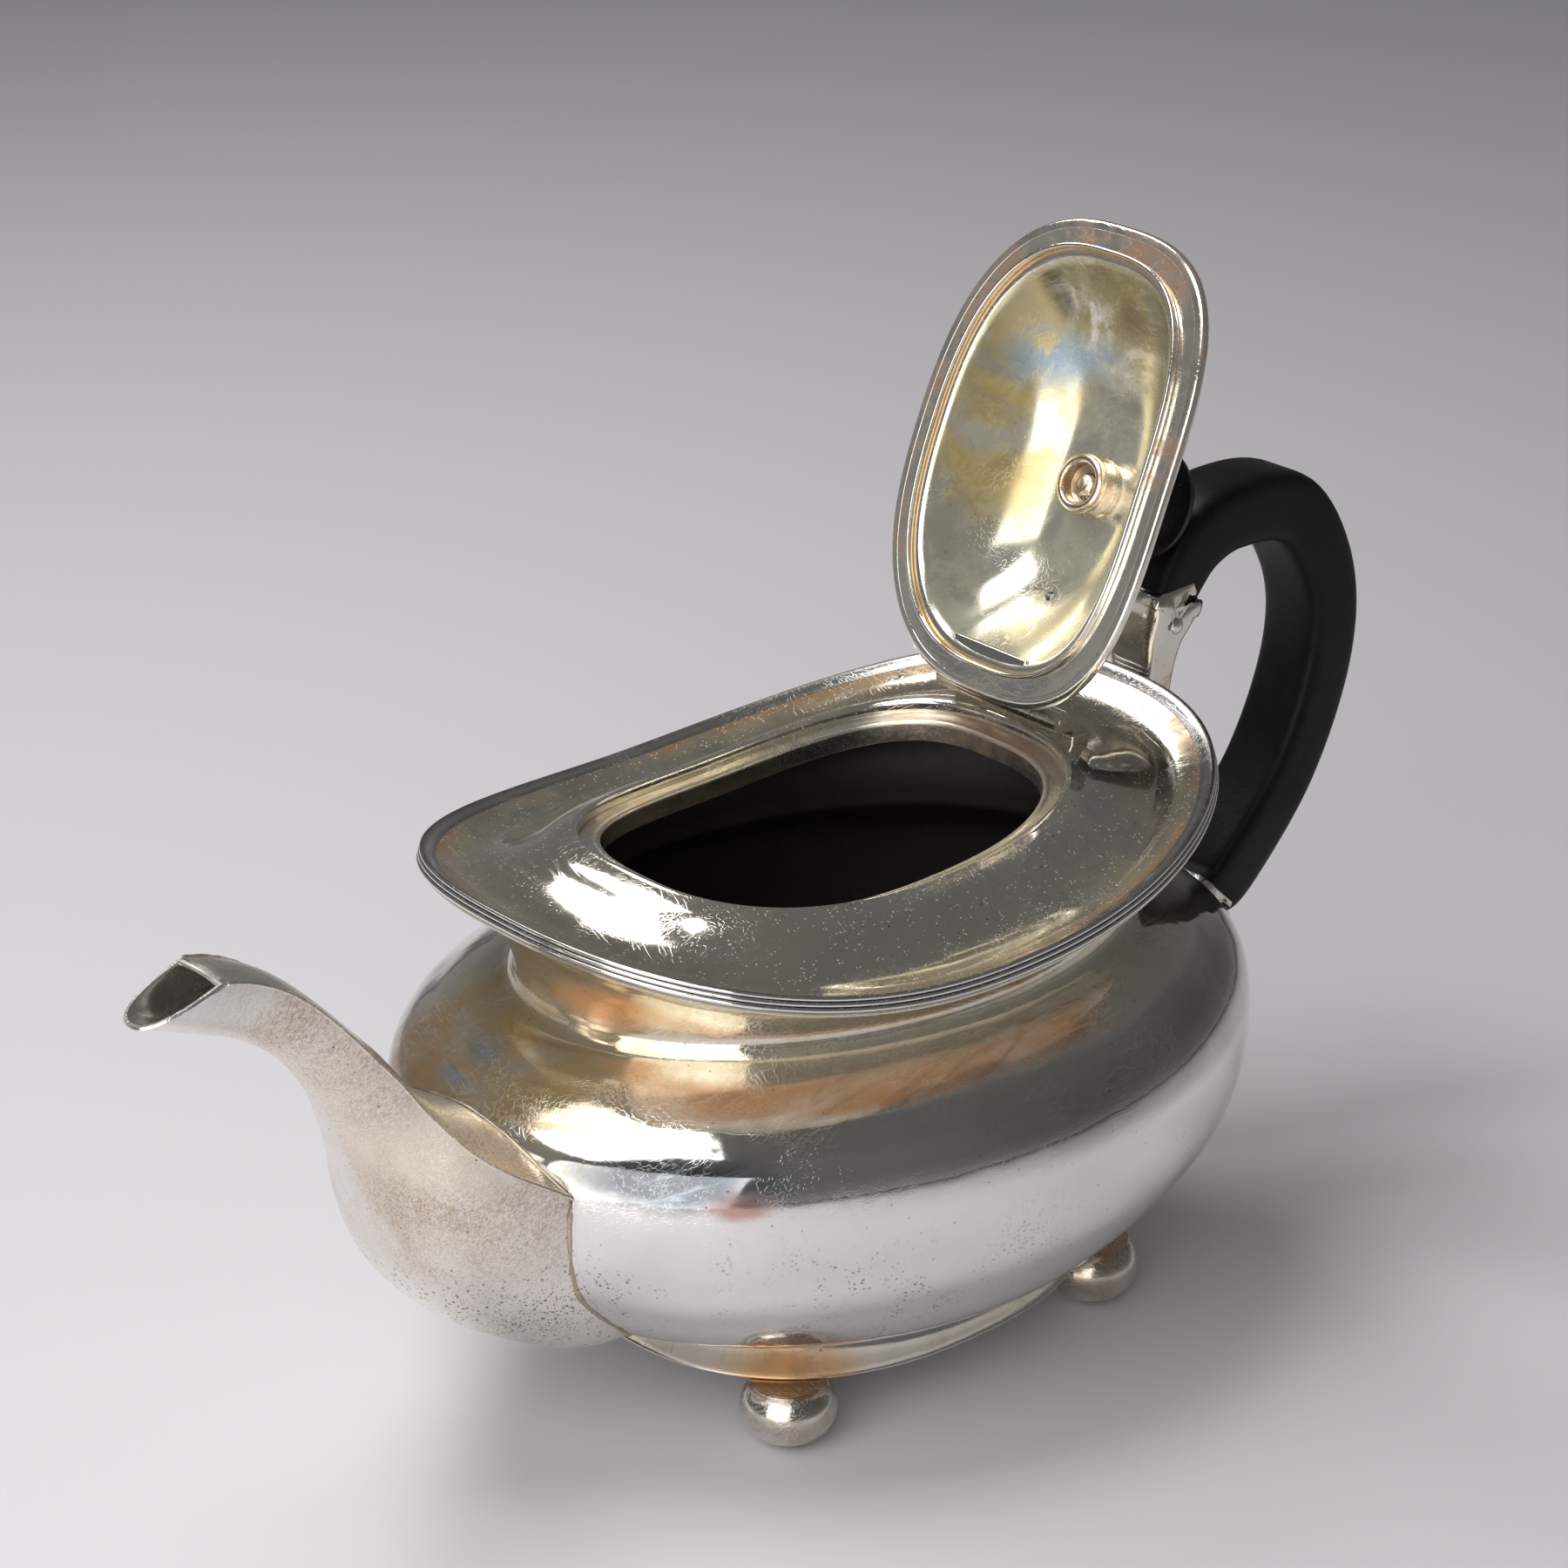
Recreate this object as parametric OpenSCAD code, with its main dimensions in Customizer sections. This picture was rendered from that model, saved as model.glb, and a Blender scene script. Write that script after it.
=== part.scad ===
// Oval silver teapot on four ball feet, with a hinged domed lid and an ebonised loop handle.
// The frame has its origin on the table, under the middle of the length. The spout points to -X,
// the handle to +X, and +Z is up. The lid is drawn thrown back, as far as its stop.

/* [Body] */
// Length of the belly at its widest line
belly_l = 170.4; // [165:0.2:176]
// Width of the belly at its widest line
belly_w = 133.8; // [128:0.2:140]
// Height of the widest line of the belly
belly_h = 52; // [49:0.5:55]
// Distance of the belly's middle behind the origin
belly_x = 7; // [5:0.25:9]
// Height of the bottom edge of the body above the table
body_bottom_h = 17.5; // [17:0.25:18.5]
// Drop from the rim's middle to the neck, the narrowest line
neck_drop = 11.3; // [9:0.1:14]
// How far the neck is drawn in from the belly
neck_inset = 23.7; // [22.5:0.1:25]
// How far the bottom edge is drawn in from the belly
bottom_inset = 37; // [35:0.5:40]
// Thickness of the body's sheet
wall = 0.9; // [0.7:0.05:1.2]

/* [Rim] */
// Length of the rim in front of the origin
rim_front_l = 66; // [63:0.5:69]
// Length of the rim behind the origin
rim_rear_l = 80.6; // [78:0.2:81]
// Width of the rim
rim_w = 113.4; // [109:0.2:117]
// Height of the rim at its lowest place, above the origin
rim_h = 90.3; // [89:0.1:92]
// How much higher the rim is at its rear tip than at its lowest place
rim_rise = 14.1; // [12:0.1:15]
// Width of the reeded wire round the rim
reed_band = 3.2; // [2.8:0.1:3.6]
// Height of the reeded wire
reed_h = 2.8; // [2.4:0.1:3.2]
// Depth of the grooves between the reeds
reed_groove = 0.35; // [0.2:0.05:0.45]

/* [Lid opening] */
// Length of the raised crest round the lid opening
crest_l = 90.8; // [88:0.2:93]
// Width of the crest
crest_w = 66; // [64:0.2:68]
// Rise of the crest round the lid above the rim's middle
crest_rise = 7.2; // [4:0.1:10]
// Distance of the opening's middle behind the origin
crest_x = 6.25; // [5:0.25:7.5]
// Width of the rounded crest that stands outside the lid
crest_roll = 1.4; // [1.2:0.1:1.8]
// Width of the ledge that the lid rests on, its lip included
ledge_w = 3.6; // [3.2:0.1:4.2]
// Depth of the ledge below the crest
ledge_drop = 2; // [1.7:0.1:2.3]
// Depth of the bezel wall below the ledge
bezel_depth = 3.8; // [3:0.1:5]
// Thickness of the cover between the rim and the crest
cover_t = 1; // [0.8:0.05:1.2]

/* [Lid] */
// Gap between the lid's edge and the crest
lid_gap = 0.3; // [0.25:0.05:0.5]
// Gap between the closed lid and its ledge
lid_lift = 0.25; // [0.2:0.05:0.4]
// Height of the inside of the dome above the crest
dome_h = 16.7; // [15:0.1:18]
// Thickness of the lid's sheet
lid_t = 0.9; // [0.7:0.05:1.1]
// Width of the bead round the lid
bead_w = 1.9; // [1.6:0.1:2.2]
// Height of the bead
bead_h = 2; // [1.7:0.1:2.4]
// Width of the flat band between the lid's edge and the dome
flange_w = 6.4; // [5.9:0.1:7]
// Depth of the ridge under the lid
ridge_h = 1.5; // [1:0.1:2]
// Thickness of the ridge
ridge_t = 0.7; // [0.5:0.05:0.8]
// Diameter of the steam hole
steam_hole_d = 1.5; // [1:0.1:2]
// Distance of the steam hole behind the finial
steam_hole_x = 21; // [18:0.5:24]

/* [Lid hinge] */
// Distance of the hinge line behind the opening's middle
hinge_reach = 43; // [42.6:0.1:43.4]
// Height of the hinge line above the crest
hinge_rise = 10.2; // [10:0.1:10.5]
// Length of the hinge
hinge_l = 31; // [29:0.5:33]
// Outer diameter of the knuckles
knuckle_d = 4.2; // [4:0.1:4.4]
// Diameter of the hinge pin
hinge_pin_d = 1.6; // [1.4:0.1:2]
// Radial play of the pin in the lid's knuckles
pin_play = 0.05; // [0.03:0.01:0.08]
// Gap between neighbouring knuckles
knuckle_gap = 0.2; // [0.15:0.05:0.3]
// Angle that the lid is thrown back from closed
lid_open = 114.7; // [112:0.1:115]

/* [Finial] */
// Diameter of the wooden button
button_d = 22; // [20:0.5:23]
// Height of the wooden button
button_h = 13; // [11:0.25:13.5]
// Height of the silver base under the button
finial_base_h = 4.6; // [4:0.1:5]
// Diameter of the finial's threaded stud
stud_d = 4.2; // [3.6:0.1:4.6]
// Outer diameter of the ring nut inside the lid
nut_d = 11.2; // [10:0.1:12]
// Height of the ring nut
nut_h = 5.8; // [4.5:0.1:6.5]

/* [Spout] */
// Reach of the spout's lip in front of the origin
spout_reach = 137.5; // [133:0.5:142]
// Height of the upper corners of the spout's mouth
spout_h = 109.5; // [107:0.5:112]
// Width of the spout at its mouth
mouth_w = 12.4; // [11:0.2:14]
// Width of the spout where it meets the belly
spout_root_w = 51; // [48:0.5:54]
// Thickness of the spout's sheet
spout_wall = 1; // [0.8:0.05:1.2]
// Diameter of the strainer holes in the belly behind the spout
strainer_d = 3; // [2.5:0.1:3.5]
// Distance between the strainer holes
strainer_pitch = 5.6; // [5:0.1:6]

/* [Handle] */
// Reach of the back of the loop behind the origin
loop_reach = 137.5; // [126:0.5:148]
// Rise of the loop's top above the crest
loop_rise = 40; // [38:0.1:43]
// Depth of the grip, from its outer to its inner side
grip_d = 13; // [11:0.1:14]
// Width of the grip
grip_w = 14.8; // [13:0.1:16]
// Rise of the upper socket's mouth above the crest
socket_rise = 21; // [19:0.1:23]
// Height of the lower socket's mouth
low_socket_h = 51; // [49:0.5:53]
// Thickness of the sockets' sheet
socket_wall = 0.9; // [0.7:0.05:1.1]
// Diameter of the pins that hold the handle in its sockets
handle_pin_d = 2; // [1.6:0.1:2.4]
// Gap between the handle and its sockets
handle_fit = 0.05; // [0.03:0.01:0.1]

/* [Base] */
// Length of the flared base
base_l = 97; // [94:0.5:100]
// Width of the flared base
base_w = 87; // [84:0.5:90]
// Distance of the base's middle behind the origin
base_x = 5; // [4:0.25:7]
// Height of the base's lower edge above the table
base_h = 12.2; // [11.8:0.1:12.6]
// Width of the flat underside of the base, from its edge inwards
base_band = 11; // [9:0.5:13]
// Thickness of the bottom plate
bottom_t = 1; // [0.8:0.1:1.4]
// Diameter of the ball feet
foot_d = 17.2; // [16:0.2:18]
// Diameter of the flat that each foot stands on
foot_flat_d = 5; // [4:0.5:6]
// Distance of the feet in from the collar's ends
foot_in_l = 11.6; // [9:0.1:14]
// Distance of the feet in from the collar's sides
foot_in_w = 11.8; // [9:0.1:14]
// Distance of the feet's middle behind the origin
feet_x = 6.9; // [6:0.1:8]

/* [Hidden] */
// Facets round the oval pieces
segs = 60;
// Facets round a cross-section of the handle and its sockets
bar_segs = 20;
// Facets of round pieces
$fn = 64;
// Small step that makes a cut pass through a face
over = 0.5;
// Squareness of the plans of the belly, the rim, the crest and the base
belly_n = 1.95;
rim_n = 2.42;
crest_n = 2.78;
base_n = 2.33;
// Rise of the rim and the lid towards their ends, for each square millimetre of distance
sheer = rim_rise / (rim_rear_l * rim_rear_l);
// The belly is drawn in less across its width than along its length, below and above its widest line
width_share = 0.68;
shoulder_share = 0.92;
// Heights that follow the rim
neck_h = rim_h - neck_drop;
crest_h = rim_h + crest_rise;
socket_h = crest_h + socket_rise;
loop_h = crest_h + loop_rise;
// Spread of the feet
feet_l = base_l - 2 * foot_in_l;
feet_w = base_w - 2 * foot_in_w;
// The hinge line, parallel to Y
hinge_x = crest_x + hinge_reach;
hinge_h = crest_h + hinge_rise;

silver = [0.80, 0.78, 0.74];
gilt = [0.78, 0.68, 0.48];
ebony = [0.05, 0.045, 0.04];

// Plan of an oval piece: middle, front and rear half-lengths, half-width, squareness, inset
function oval(cx, front, rear, half_w, n, inset = 0) = [for (i = [0 : segs - 1])
    let (t = 360 * i / segs,
         a = (cos(t) < 0 ? front : rear) - inset,
         b = half_w - inset,
         r = pow(pow(abs(cos(t)) / a, n) + pow(abs(sin(t)) / b, n), -1 / n))
    [cx + r * cos(t), r * sin(t)]];
// A plan lifted to height z, plus the rise towards its ends
function lift(plan, z, k = 0) = [for (p = plan) [p[0], p[1], z + k * p[0] * p[0]]];
function mix(a, b, s) = a * (1 - s) + b * s;
function mix_plans(a, b, s) = [for (i = [0 : len(a) - 1]) mix(a[i], b[i], s)];

function belly_plan(inset, share = width_share) =
    oval(belly_x, belly_l / 2 - inset, belly_l / 2 - inset, belly_w / 2 - share * inset, belly_n);
function rim_plan(inset) = oval(0, rim_front_l, rim_rear_l, rim_w / 2, rim_n, inset);
function crest_plan(inset) = oval(crest_x, crest_l / 2, crest_l / 2, crest_w / 2, crest_n, inset);
function base_plan(inset) = oval(base_x, base_l / 2, base_l / 2, base_w / 2, base_n, inset);

// Solid between rings that close on themselves, like a tyre. In section the rings run outwards along
// the underside, up the outer side and back inwards along the top.
module tyre(rings) {
    m = len(rings[0]);
    n = len(rings);
    polyhedron(points = [for (r = rings) each r],
               faces = [for (i = [0 : n - 1], j = [0 : m - 1])
                            let (a = i * m + j, b = i * m + (j + 1) % m,
                                 c = ((i + 1) % n) * m + (j + 1) % m, d = ((i + 1) % n) * m + j)
                            each [[a, c, b], [a, d, c]]]);
}
// Solid between rings whose first and last ring are capped
module barrel(rings) {
    m = len(rings[0]);
    n = len(rings);
    polyhedron(points = [for (r = rings) each r],
               faces = concat(
                   [for (i = [0 : n - 2], j = [0 : m - 1])
                        let (a = i * m + j, b = i * m + (j + 1) % m,
                             c = (i + 1) * m + (j + 1) % m, d = (i + 1) * m + j)
                        each [[a, c, b], [a, d, c]]],
                   [[for (j = [0 : m - 1]) j]],
                   [[for (j = [m - 1 : -1 : 0]) (n - 1) * m + j]]));
}

// A smooth curve through points, with a number of steps between each two
function smooth(p, steps) = let (n = len(p)) [
    for (i = [0 : n - 2], s = [0 : steps - 1])
        let (t = s / steps, a = p[max(i - 1, 0)], b = p[i], c = p[i + 1], d = p[min(i + 2, n - 1)])
        0.5 * (2 * b + (c - a) * t + (2 * a - 5 * b + 4 * c - d) * t * t
               + (3 * b - a - 3 * c + d) * t * t * t),
    p[n - 1]];

// ---- body ----

// Height of the shoulder, from the widest line to the neck
shoulder_h = neck_h - belly_h;
// The belly's profile from the bottom edge to the neck: height, and inset from the widest line
belly_profile = smooth([
    [body_bottom_h, bottom_inset],
    [body_bottom_h + 2.5, bottom_inset - 8.5],
    [body_bottom_h + 7, bottom_inset - 17.5],
    [body_bottom_h + 15, bottom_inset - 27.5],
    [belly_h - 11, 2.6],
    [belly_h, 0],
    [belly_h + 0.41 * shoulder_h, 1.6],
    [belly_h + 0.63 * shoulder_h, 8.5],
    [belly_h + 0.78 * shoulder_h, 15.9],
    [neck_h - 3, neck_inset - 1.5],
    [neck_h, neck_inset]], 2);

// Unit step from a profile's point into the metal: height and inset
function into_metal(p, i) =
    let (d = p[min(i + 1, len(p) - 1)] - p[max(i - 1, 0)], l = norm(d)) [-d[1] / l, d[0] / l];
function belly_ring(i, t) = let (
    p = belly_profile[i],
    n = into_metal(belly_profile, i),
    share = p[0] > belly_h ? shoulder_share : width_share)
    lift(belly_plan(p[1] + t * n[1], share), p[0] + (i == 0 ? 0 : t * n[0]));

// The neck opens in a quarter round from its narrowest line to the rim
flare_steps = 6;
body_edge = 0.9;
function flare_ring(s, t) = let (
    neck = lift(belly_plan(neck_inset + t, shoulder_share), neck_h),
    edge = lift(rim_plan(body_edge), rim_h - reed_h / 2 - wall + t, 0))
    [for (i = [0 : segs - 1])
        let (a = neck[i], b = edge[i], q = 1 - cos(90 * s), v = sin(90 * s),
             x = mix(a[0], b[0], q))
        [x, mix(a[1], b[1], q), mix(a[2], b[2] + sheer * x * x, v)]];

belly_n_rows = len(belly_profile);
outer_rings = concat([for (i = [0 : belly_n_rows - 1]) belly_ring(i, 0)],
                     [for (j = [1 : flare_steps]) flare_ring(j / flare_steps, 0)]);
inner_rings = concat([for (i = [0 : belly_n_rows - 1]) belly_ring(i, wall)],
                     [for (j = [1 : flare_steps]) flare_ring(j / flare_steps, wall)]);

module body_form() {
    barrel(outer_rings);
}

// Rows of strainer holes in the belly's front, behind the spout's root
strainer_rows = [[26, 3], [31, 4], [36, 5], [41, 4], [46, 3]];
module strainer_holes() {
    for (row = strainer_rows, k = [0 : row[1] - 1])
        translate([-belly_l / 2, (k - (row[1] - 1) / 2) * strainer_pitch, row[0]])
            rotate([0, 90, 0])
                cylinder(h = 40, d = strainer_d, $fn = 16);
}

module body_shell() {
    color(silver)
        difference() {
            tyre(concat(outer_rings, [for (i = [len(inner_rings) - 1 : -1 : 0]) inner_rings[i]]));
            strainer_holes();
        }
}

// ---- rim ----

module rim_wire() {
    base = rim_h - reed_h / 2;
    pitch = reed_h / 3;
    // Section of the wire: inset from the rim and height, with three reeds on its outer side
    section = concat(
        [[reed_band, base], [body_edge, base]],
        [for (k = [0 : 2]) each [
            [k == 0 ? body_edge / 2 : reed_groove + 0.2 * k, base + pitch * k + 0.1],
            [0.25 * k, base + pitch * (k + 0.35)],
            [0.25 * k + 0.1, base + pitch * (k + 0.75)]]],
        [[1.1, base + reed_h], [2, base + reed_h - 0.3], [reed_band, base + reed_h - 0.9]]);
    color(silver)
        tyre([for (p = section) lift(rim_plan(p[0]), p[1], sheer)]);
}

// ---- cover between the rim and the lid opening ----

// Share of the way from the rim to the crest, and height above the rim's level
cover_profile = smooth([
    [0, 0.4],
    [0.16, -0.7],
    [0.34, -0.5],
    [0.52, 1.0],
    [0.7, 3.4],
    [0.86, 5.8],
    [1, 7.1]], 2);
cover_rise = crest_h - rim_h;
function cover_z(p) = rim_h + p[1] * cover_rise / 7.2;
function cover_ring(p, drop) = lift(mix_plans(rim_plan(reed_band), crest_plan(0), p[0]),
                                    cover_z(p) - drop, sheer);
cover_edge_h = crest_h - ledge_drop - 0.9;

module cover_form() {
    top = [for (p = cover_profile) cover_ring(p, 0)];
    under = [for (i = [len(cover_profile) - 2 : -1 : 0]) cover_ring(cover_profile[i], cover_t)];
    tyre(concat(
        top,
        [lift(crest_plan(crest_roll / 2), crest_h + 0.15, sheer),
         lift(crest_plan(crest_roll), crest_h - 0.25, sheer),
         lift(crest_plan(crest_roll), cover_edge_h, sheer),
         lift(crest_plan(crest_roll / 3), cover_edge_h, sheer)],
        under));
}

// The hinge's pad stands on the cover, behind the crest
pad_front_x = crest_x + crest_l / 2 + 0.2;
pad_l = 4;
pad_top_h = hinge_h - 3.4;
module cover() {
    color(silver)
        union() {
            cover_form();
            translate([pad_front_x, -hinge_l / 2, pad_top_h - 6])
                cube([pad_l, hinge_l, 6]);
        }
}

module seat_bezel() {
    ledge = crest_h - ledge_drop;
    opening = crest_roll + ledge_w;
    color(gilt)
        tyre([lift(crest_plan(opening), ledge - bezel_depth, sheer),
              lift(crest_plan(opening - wall), ledge - bezel_depth, sheer),
              lift(crest_plan(opening - wall), ledge - wall, sheer),
              lift(crest_plan(crest_roll), ledge - wall, sheer),
              lift(crest_plan(crest_roll), ledge, sheer),
              lift(crest_plan(opening - 0.8), ledge, sheer),
              lift(crest_plan(opening - 0.4), ledge + 0.2, sheer),
              lift(crest_plan(opening), ledge, sheer)]);
}

// ---- base and feet ----

collar_rings = [
    lift(base_plan(0), base_h),
    lift(base_plan(0.3), base_h + 0.7),
    lift(base_plan(2.6), base_h + 2.3),
    lift(base_plan(5), base_h + 4.1),
    lift(belly_plan(bottom_inset), body_bottom_h),
    lift(belly_plan(bottom_inset + base_band - 5), body_bottom_h),
    lift(base_plan(base_band), base_h)];

module base_collar() {
    color(silver)
        tyre(collar_rings);
}

module bottom_plate() {
    color(silver)
        barrel([lift(belly_plan(bottom_inset + wall), body_bottom_h),
                lift(belly_plan(bottom_inset + wall), body_bottom_h + bottom_t)]);
}

foot_r = foot_d / 2;
foot_mid_h = 6.9;
module foot(sx, sy) {
    drop = foot_mid_h * sqrt(1 - pow(foot_flat_d / foot_d, 2));
    top = base_h - foot_mid_h;
    low_angle = -asin(drop / foot_mid_h);
    top_angle = asin(min(top / foot_mid_h, 0.98));
    arc = [for (i = [0 : 24])
               let (t = low_angle + (top_angle - low_angle) * i / 24)
               [foot_r * cos(t), foot_mid_h + foot_mid_h * sin(t)]];
    stand = arc[0][1];
    color(silver)
        translate([feet_x + sx * feet_l / 2, sy * feet_w / 2, 0])
            rotate_extrude()
                polygon(concat([[0, 0]], [[foot_flat_d / 2, 0]],
                               [for (p = arc) if (p[1] > stand + 0.05) p],
                               [[arc[24][0], base_h], [0, base_h]]));
}
module foot_front_left() { foot(-1, -1); }
module foot_front_right() { foot(-1, 1); }
module foot_rear_left() { foot(1, -1); }
module foot_rear_right() { foot(1, 1); }

// ---- spout ----

// Along the spout: x and z of its upper edges, x and z of its keel, half-width, crown of its top
lip_x = -spout_reach;
root_w = spout_root_w / 2;
spout_path = [
    [lip_x + 14.0, spout_h, lip_x, spout_h - 5, mouth_w / 2, 0.4],
    [lip_x + 18.5, spout_h - 1.3, lip_x + 9, spout_h - 8.9, mouth_w / 2 + 0.2, 0.6],
    [lip_x + 23, spout_h - 3.5, lip_x + 17, spout_h - 12.3, mouth_w / 2 + 0.6, 0.9],
    [lip_x + 27, spout_h - 6.3, lip_x + 23.4, spout_h - 16.5, mouth_w / 2 + 1.1, 1.1],
    [lip_x + 31, spout_h - 10.2, lip_x + 29, spout_h - 22.2, mouth_w / 2 + 1.7, 1.4],
    [lip_x + 35, spout_h - 14.9, lip_x + 33.3, spout_h - 28.3, mouth_w / 2 + 2.5, 1.9],
    [lip_x + 39, spout_h - 20.2, lip_x + 36.4, spout_h - 35, mouth_w / 2 + 3.7, 2.5],
    [lip_x + 42.8, spout_h - 25.4, lip_x + 38.9, spout_h - 42.5, mouth_w / 2 + 5.3, 3.1],
    [lip_x + 46.7, spout_h - 31.9, lip_x + 41.2, spout_h - 50.7, root_w - 11.5, 3.8],
    [lip_x + 51.3, spout_h - 38.2, lip_x + 43.5, spout_h - 59.7, root_w - 7.5, 4.4],
    [lip_x + 56.5, spout_h - 42.9, lip_x + 47.2, spout_h - 68.5, root_w - 4.2, 4.9],
    [lip_x + 63, spout_h - 47.2, lip_x + 54, spout_h - 76.5, root_w - 1.7, 5.1],
    [lip_x + 69.5, spout_h - 51.5, lip_x + 64.5, spout_h - 84, root_w, 5],
    [lip_x + 77, spout_h - 56, lip_x + 76.5, spout_h - 90, root_w + 1, 4],
    [lip_x + 85, spout_h - 60, lip_x + 88, spout_h - 91.8, root_w + 1.5, 3]];

// One ring of the spout: a deep round trough closed by a crowned top, thinner by t
trough_steps = 18;
crown_steps = 8;
function spout_ring(s, t) = let (
    top = [s[0], s[1]], keel = [s[2], s[3]], up = (top - keel) / norm(top - keel),
    a = top - up * t, b = keel + up * t, w = s[4] - t)
    concat(
        [for (i = [0 : trough_steps])
            let (f = 180 * i / trough_steps,
                 y = -w * sign(cos(f)) * pow(abs(cos(f)), 0.8),
                 p = mix(a, b, pow(sin(f), 0.8)))
            [p[0], y, p[1]]],
        [for (i = [1 : crown_steps - 1])
            let (y = w * (1 - 2 * i / crown_steps), p = a + up * s[5] * (1 - pow(y / w, 2)))
            [p[0], y, p[1]]]);

module spout() {
    // The channel starts just outside the mouth
    mouth = spout_path[0];
    out = [mouth[0] - 3, mouth[1] + 1.4, mouth[2] - 3, mouth[3] + 1.4, mouth[4], mouth[5]];
    color(silver)
        difference() {
            barrel([for (s = spout_path) spout_ring(s, 0)]);
            barrel(concat([spout_ring(out, spout_wall)],
                          [for (s = spout_path) spout_ring(s, spout_wall)],
                          [spout_ring(spout_path[len(spout_path) - 1] + [9, 0, 9, 0, 0, 0], spout_wall)]));
            body_form();
        }
}

// ---- handle and its sockets ----

// A bar swept along stations in the middle plane: x, z, half-depth and half-width
// Its section is a rounded square: 1 for an oval, less for squarer corners
bar_round = 0.38;
function bar_rings(path, grow = 0) = [for (i = [0 : len(path) - 1])
    let (p = path[i], d = path[min(i + 1, len(path) - 1)] - path[max(i - 1, 0)],
         l = norm([d[0], d[1]]), nx = -d[1] / l, nz = d[0] / l)
    [for (j = [0 : bar_segs - 1])
        let (t = 360 * j / bar_segs,
             u = (p[2] + grow) * sign(cos(t)) * pow(abs(cos(t)), bar_round),
             v = -(p[3] + grow) * sign(sin(t)) * pow(abs(sin(t)), bar_round))
        [p[0] + nx * u, v, p[1] + nz * u]]];

hd = grip_d / 2;
hw = grip_w / 2;
back_x = loop_reach - hd - 0.4;
top_z = loop_h - hd - 0.3;
// The sockets' mouths stand off the rim's rear end and the belly's rear end
mouth_x = rim_rear_l + 7.15;
low_x = belly_x + belly_l / 2 + 5.4;
// The bar is slimmer where it enters the sockets
end_d = hd - 0.9;
end_w = hw - 0.9;
handle_path = smooth([
    [mouth_x - 2, socket_h - 8, end_d - 1.9, end_w - 1.3],
    [mouth_x, socket_h, end_d, end_w],
    [mouth_x + 6.15, top_z - 3.1, hd + 0.1, hw],
    [mix(mouth_x, back_x, 0.393), top_z + 0.1, hd + 0.3, hw],
    [mix(mouth_x, back_x, 0.748), top_z - 3, hd + 0.4, hw],
    [back_x - 1, top_z - 18.4, hd + 0.1, hw],
    [back_x - 0.6, top_z - 36, hd, hw],
    [mix(low_x, back_x, 0.718), top_z - 56.4, hd, hw],
    [mix(low_x, back_x, 0.273), low_socket_h + 7, hd, hw],
    [low_x + 3.5, low_socket_h + 2.8, end_d, hw - 0.7],
    [low_x - 2.6, low_socket_h - 1.7, hd - 2, hw - 1.5]], 4);

upper_pin_at = [mouth_x - 1.3, socket_h - 4.6];
lower_pin_at = [low_x + 0.6, low_socket_h + 0.6];
module pin_hole(at) {
    translate([at[0], grip_w, at[1]])
        rotate([90, 0, 0])
            cylinder(h = 2 * grip_w, d = handle_pin_d + 0.06);
}
module pin(at, half_l) {
    head_h = 0.7;
    translate([at[0], half_l, at[1]])
        rotate([90, 0, 0])
            rotate_extrude()
                polygon([[0, -head_h], [handle_pin_d * 0.5, -head_h], [handle_pin_d * 0.8, -0.05],
                         [handle_pin_d / 2, 0], [handle_pin_d / 2, 2 * half_l],
                         [handle_pin_d * 0.8, 2 * half_l + 0.05],
                         [handle_pin_d * 0.5, 2 * half_l + head_h], [0, 2 * half_l + head_h]]);
}

module handle() {
    color(ebony)
        difference() {
            barrel(bar_rings(handle_path));
            pin_hole(upper_pin_at);
            pin_hole(lower_pin_at);
        }
}

// The upper socket stands on the shoulder, passes behind the rim and opens towards its mouth
upper_socket_path = smooth([
    [mouth_x - 21, socket_h - 60, 6.5, 8.5],
    [mouth_x - 11.6, socket_h - 50, 5, 7],
    [mouth_x - 6.8, socket_h - 40, 3.8, 5.7],
    [mouth_x - 4.2, socket_h - 30, 3.4, 5.1],
    [mouth_x - 3.1, socket_h - 20, 3.4, 5.1],
    [mouth_x - 2.8, socket_h - 13.5, 3.8, 5.6],
    [mouth_x - 2.2, socket_h - 8, end_d - 1.7 + socket_wall, end_w - 1.2 + socket_wall],
    [mouth_x - 0.9, socket_h - 3.2, end_d + socket_wall - 0.4, end_w + socket_wall - 0.2],
    [mouth_x - 0.4, socket_h - 1.6, end_d + socket_wall + 0.2, end_w + socket_wall + 0.2],
    [mouth_x, socket_h, end_d + socket_wall + 0.4, end_w + socket_wall + 0.4]], 2);

module upper_socket() {
    color(silver)
        difference() {
            barrel(bar_rings(upper_socket_path));
            barrel(bar_rings(handle_path, handle_fit));
            body_form();
            barrel([for (i = [0 : 5]) lift(rim_plan(-0.02), rim_h - 40 + i * 10, sheer)]);
            pin_hole(upper_pin_at);
        }
}

lower_socket_path = smooth([
    [low_x - 17, low_socket_h - 12, hd + 2, hw + 2],
    [low_x - 9, low_socket_h - 6, hd + 0.8, hw + 0.8],
    [low_x - 1.5, low_socket_h - 0.9, hd, hw],
    [low_x + 1.5, low_socket_h + 1.2, hd, hw],
    [low_x + 3.5, low_socket_h + 2.8, end_d + socket_wall + 0.1, hw + 0.3]], 2);

module lower_socket() {
    color(silver)
        difference() {
            barrel(bar_rings(lower_socket_path));
            barrel(bar_rings(handle_path, handle_fit));
            body_form();
            pin_hole(lower_pin_at);
        }
}

module upper_handle_pin() {
    color(silver) pin(upper_pin_at, end_w + 0.7);
}
module lower_handle_pin() {
    color(silver) pin(lower_pin_at, hw + 0.1);
}

// ---- hinge ----

knuckle_r = knuckle_d / 2;
knuckle_pitch = hinge_l / 5;

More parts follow.
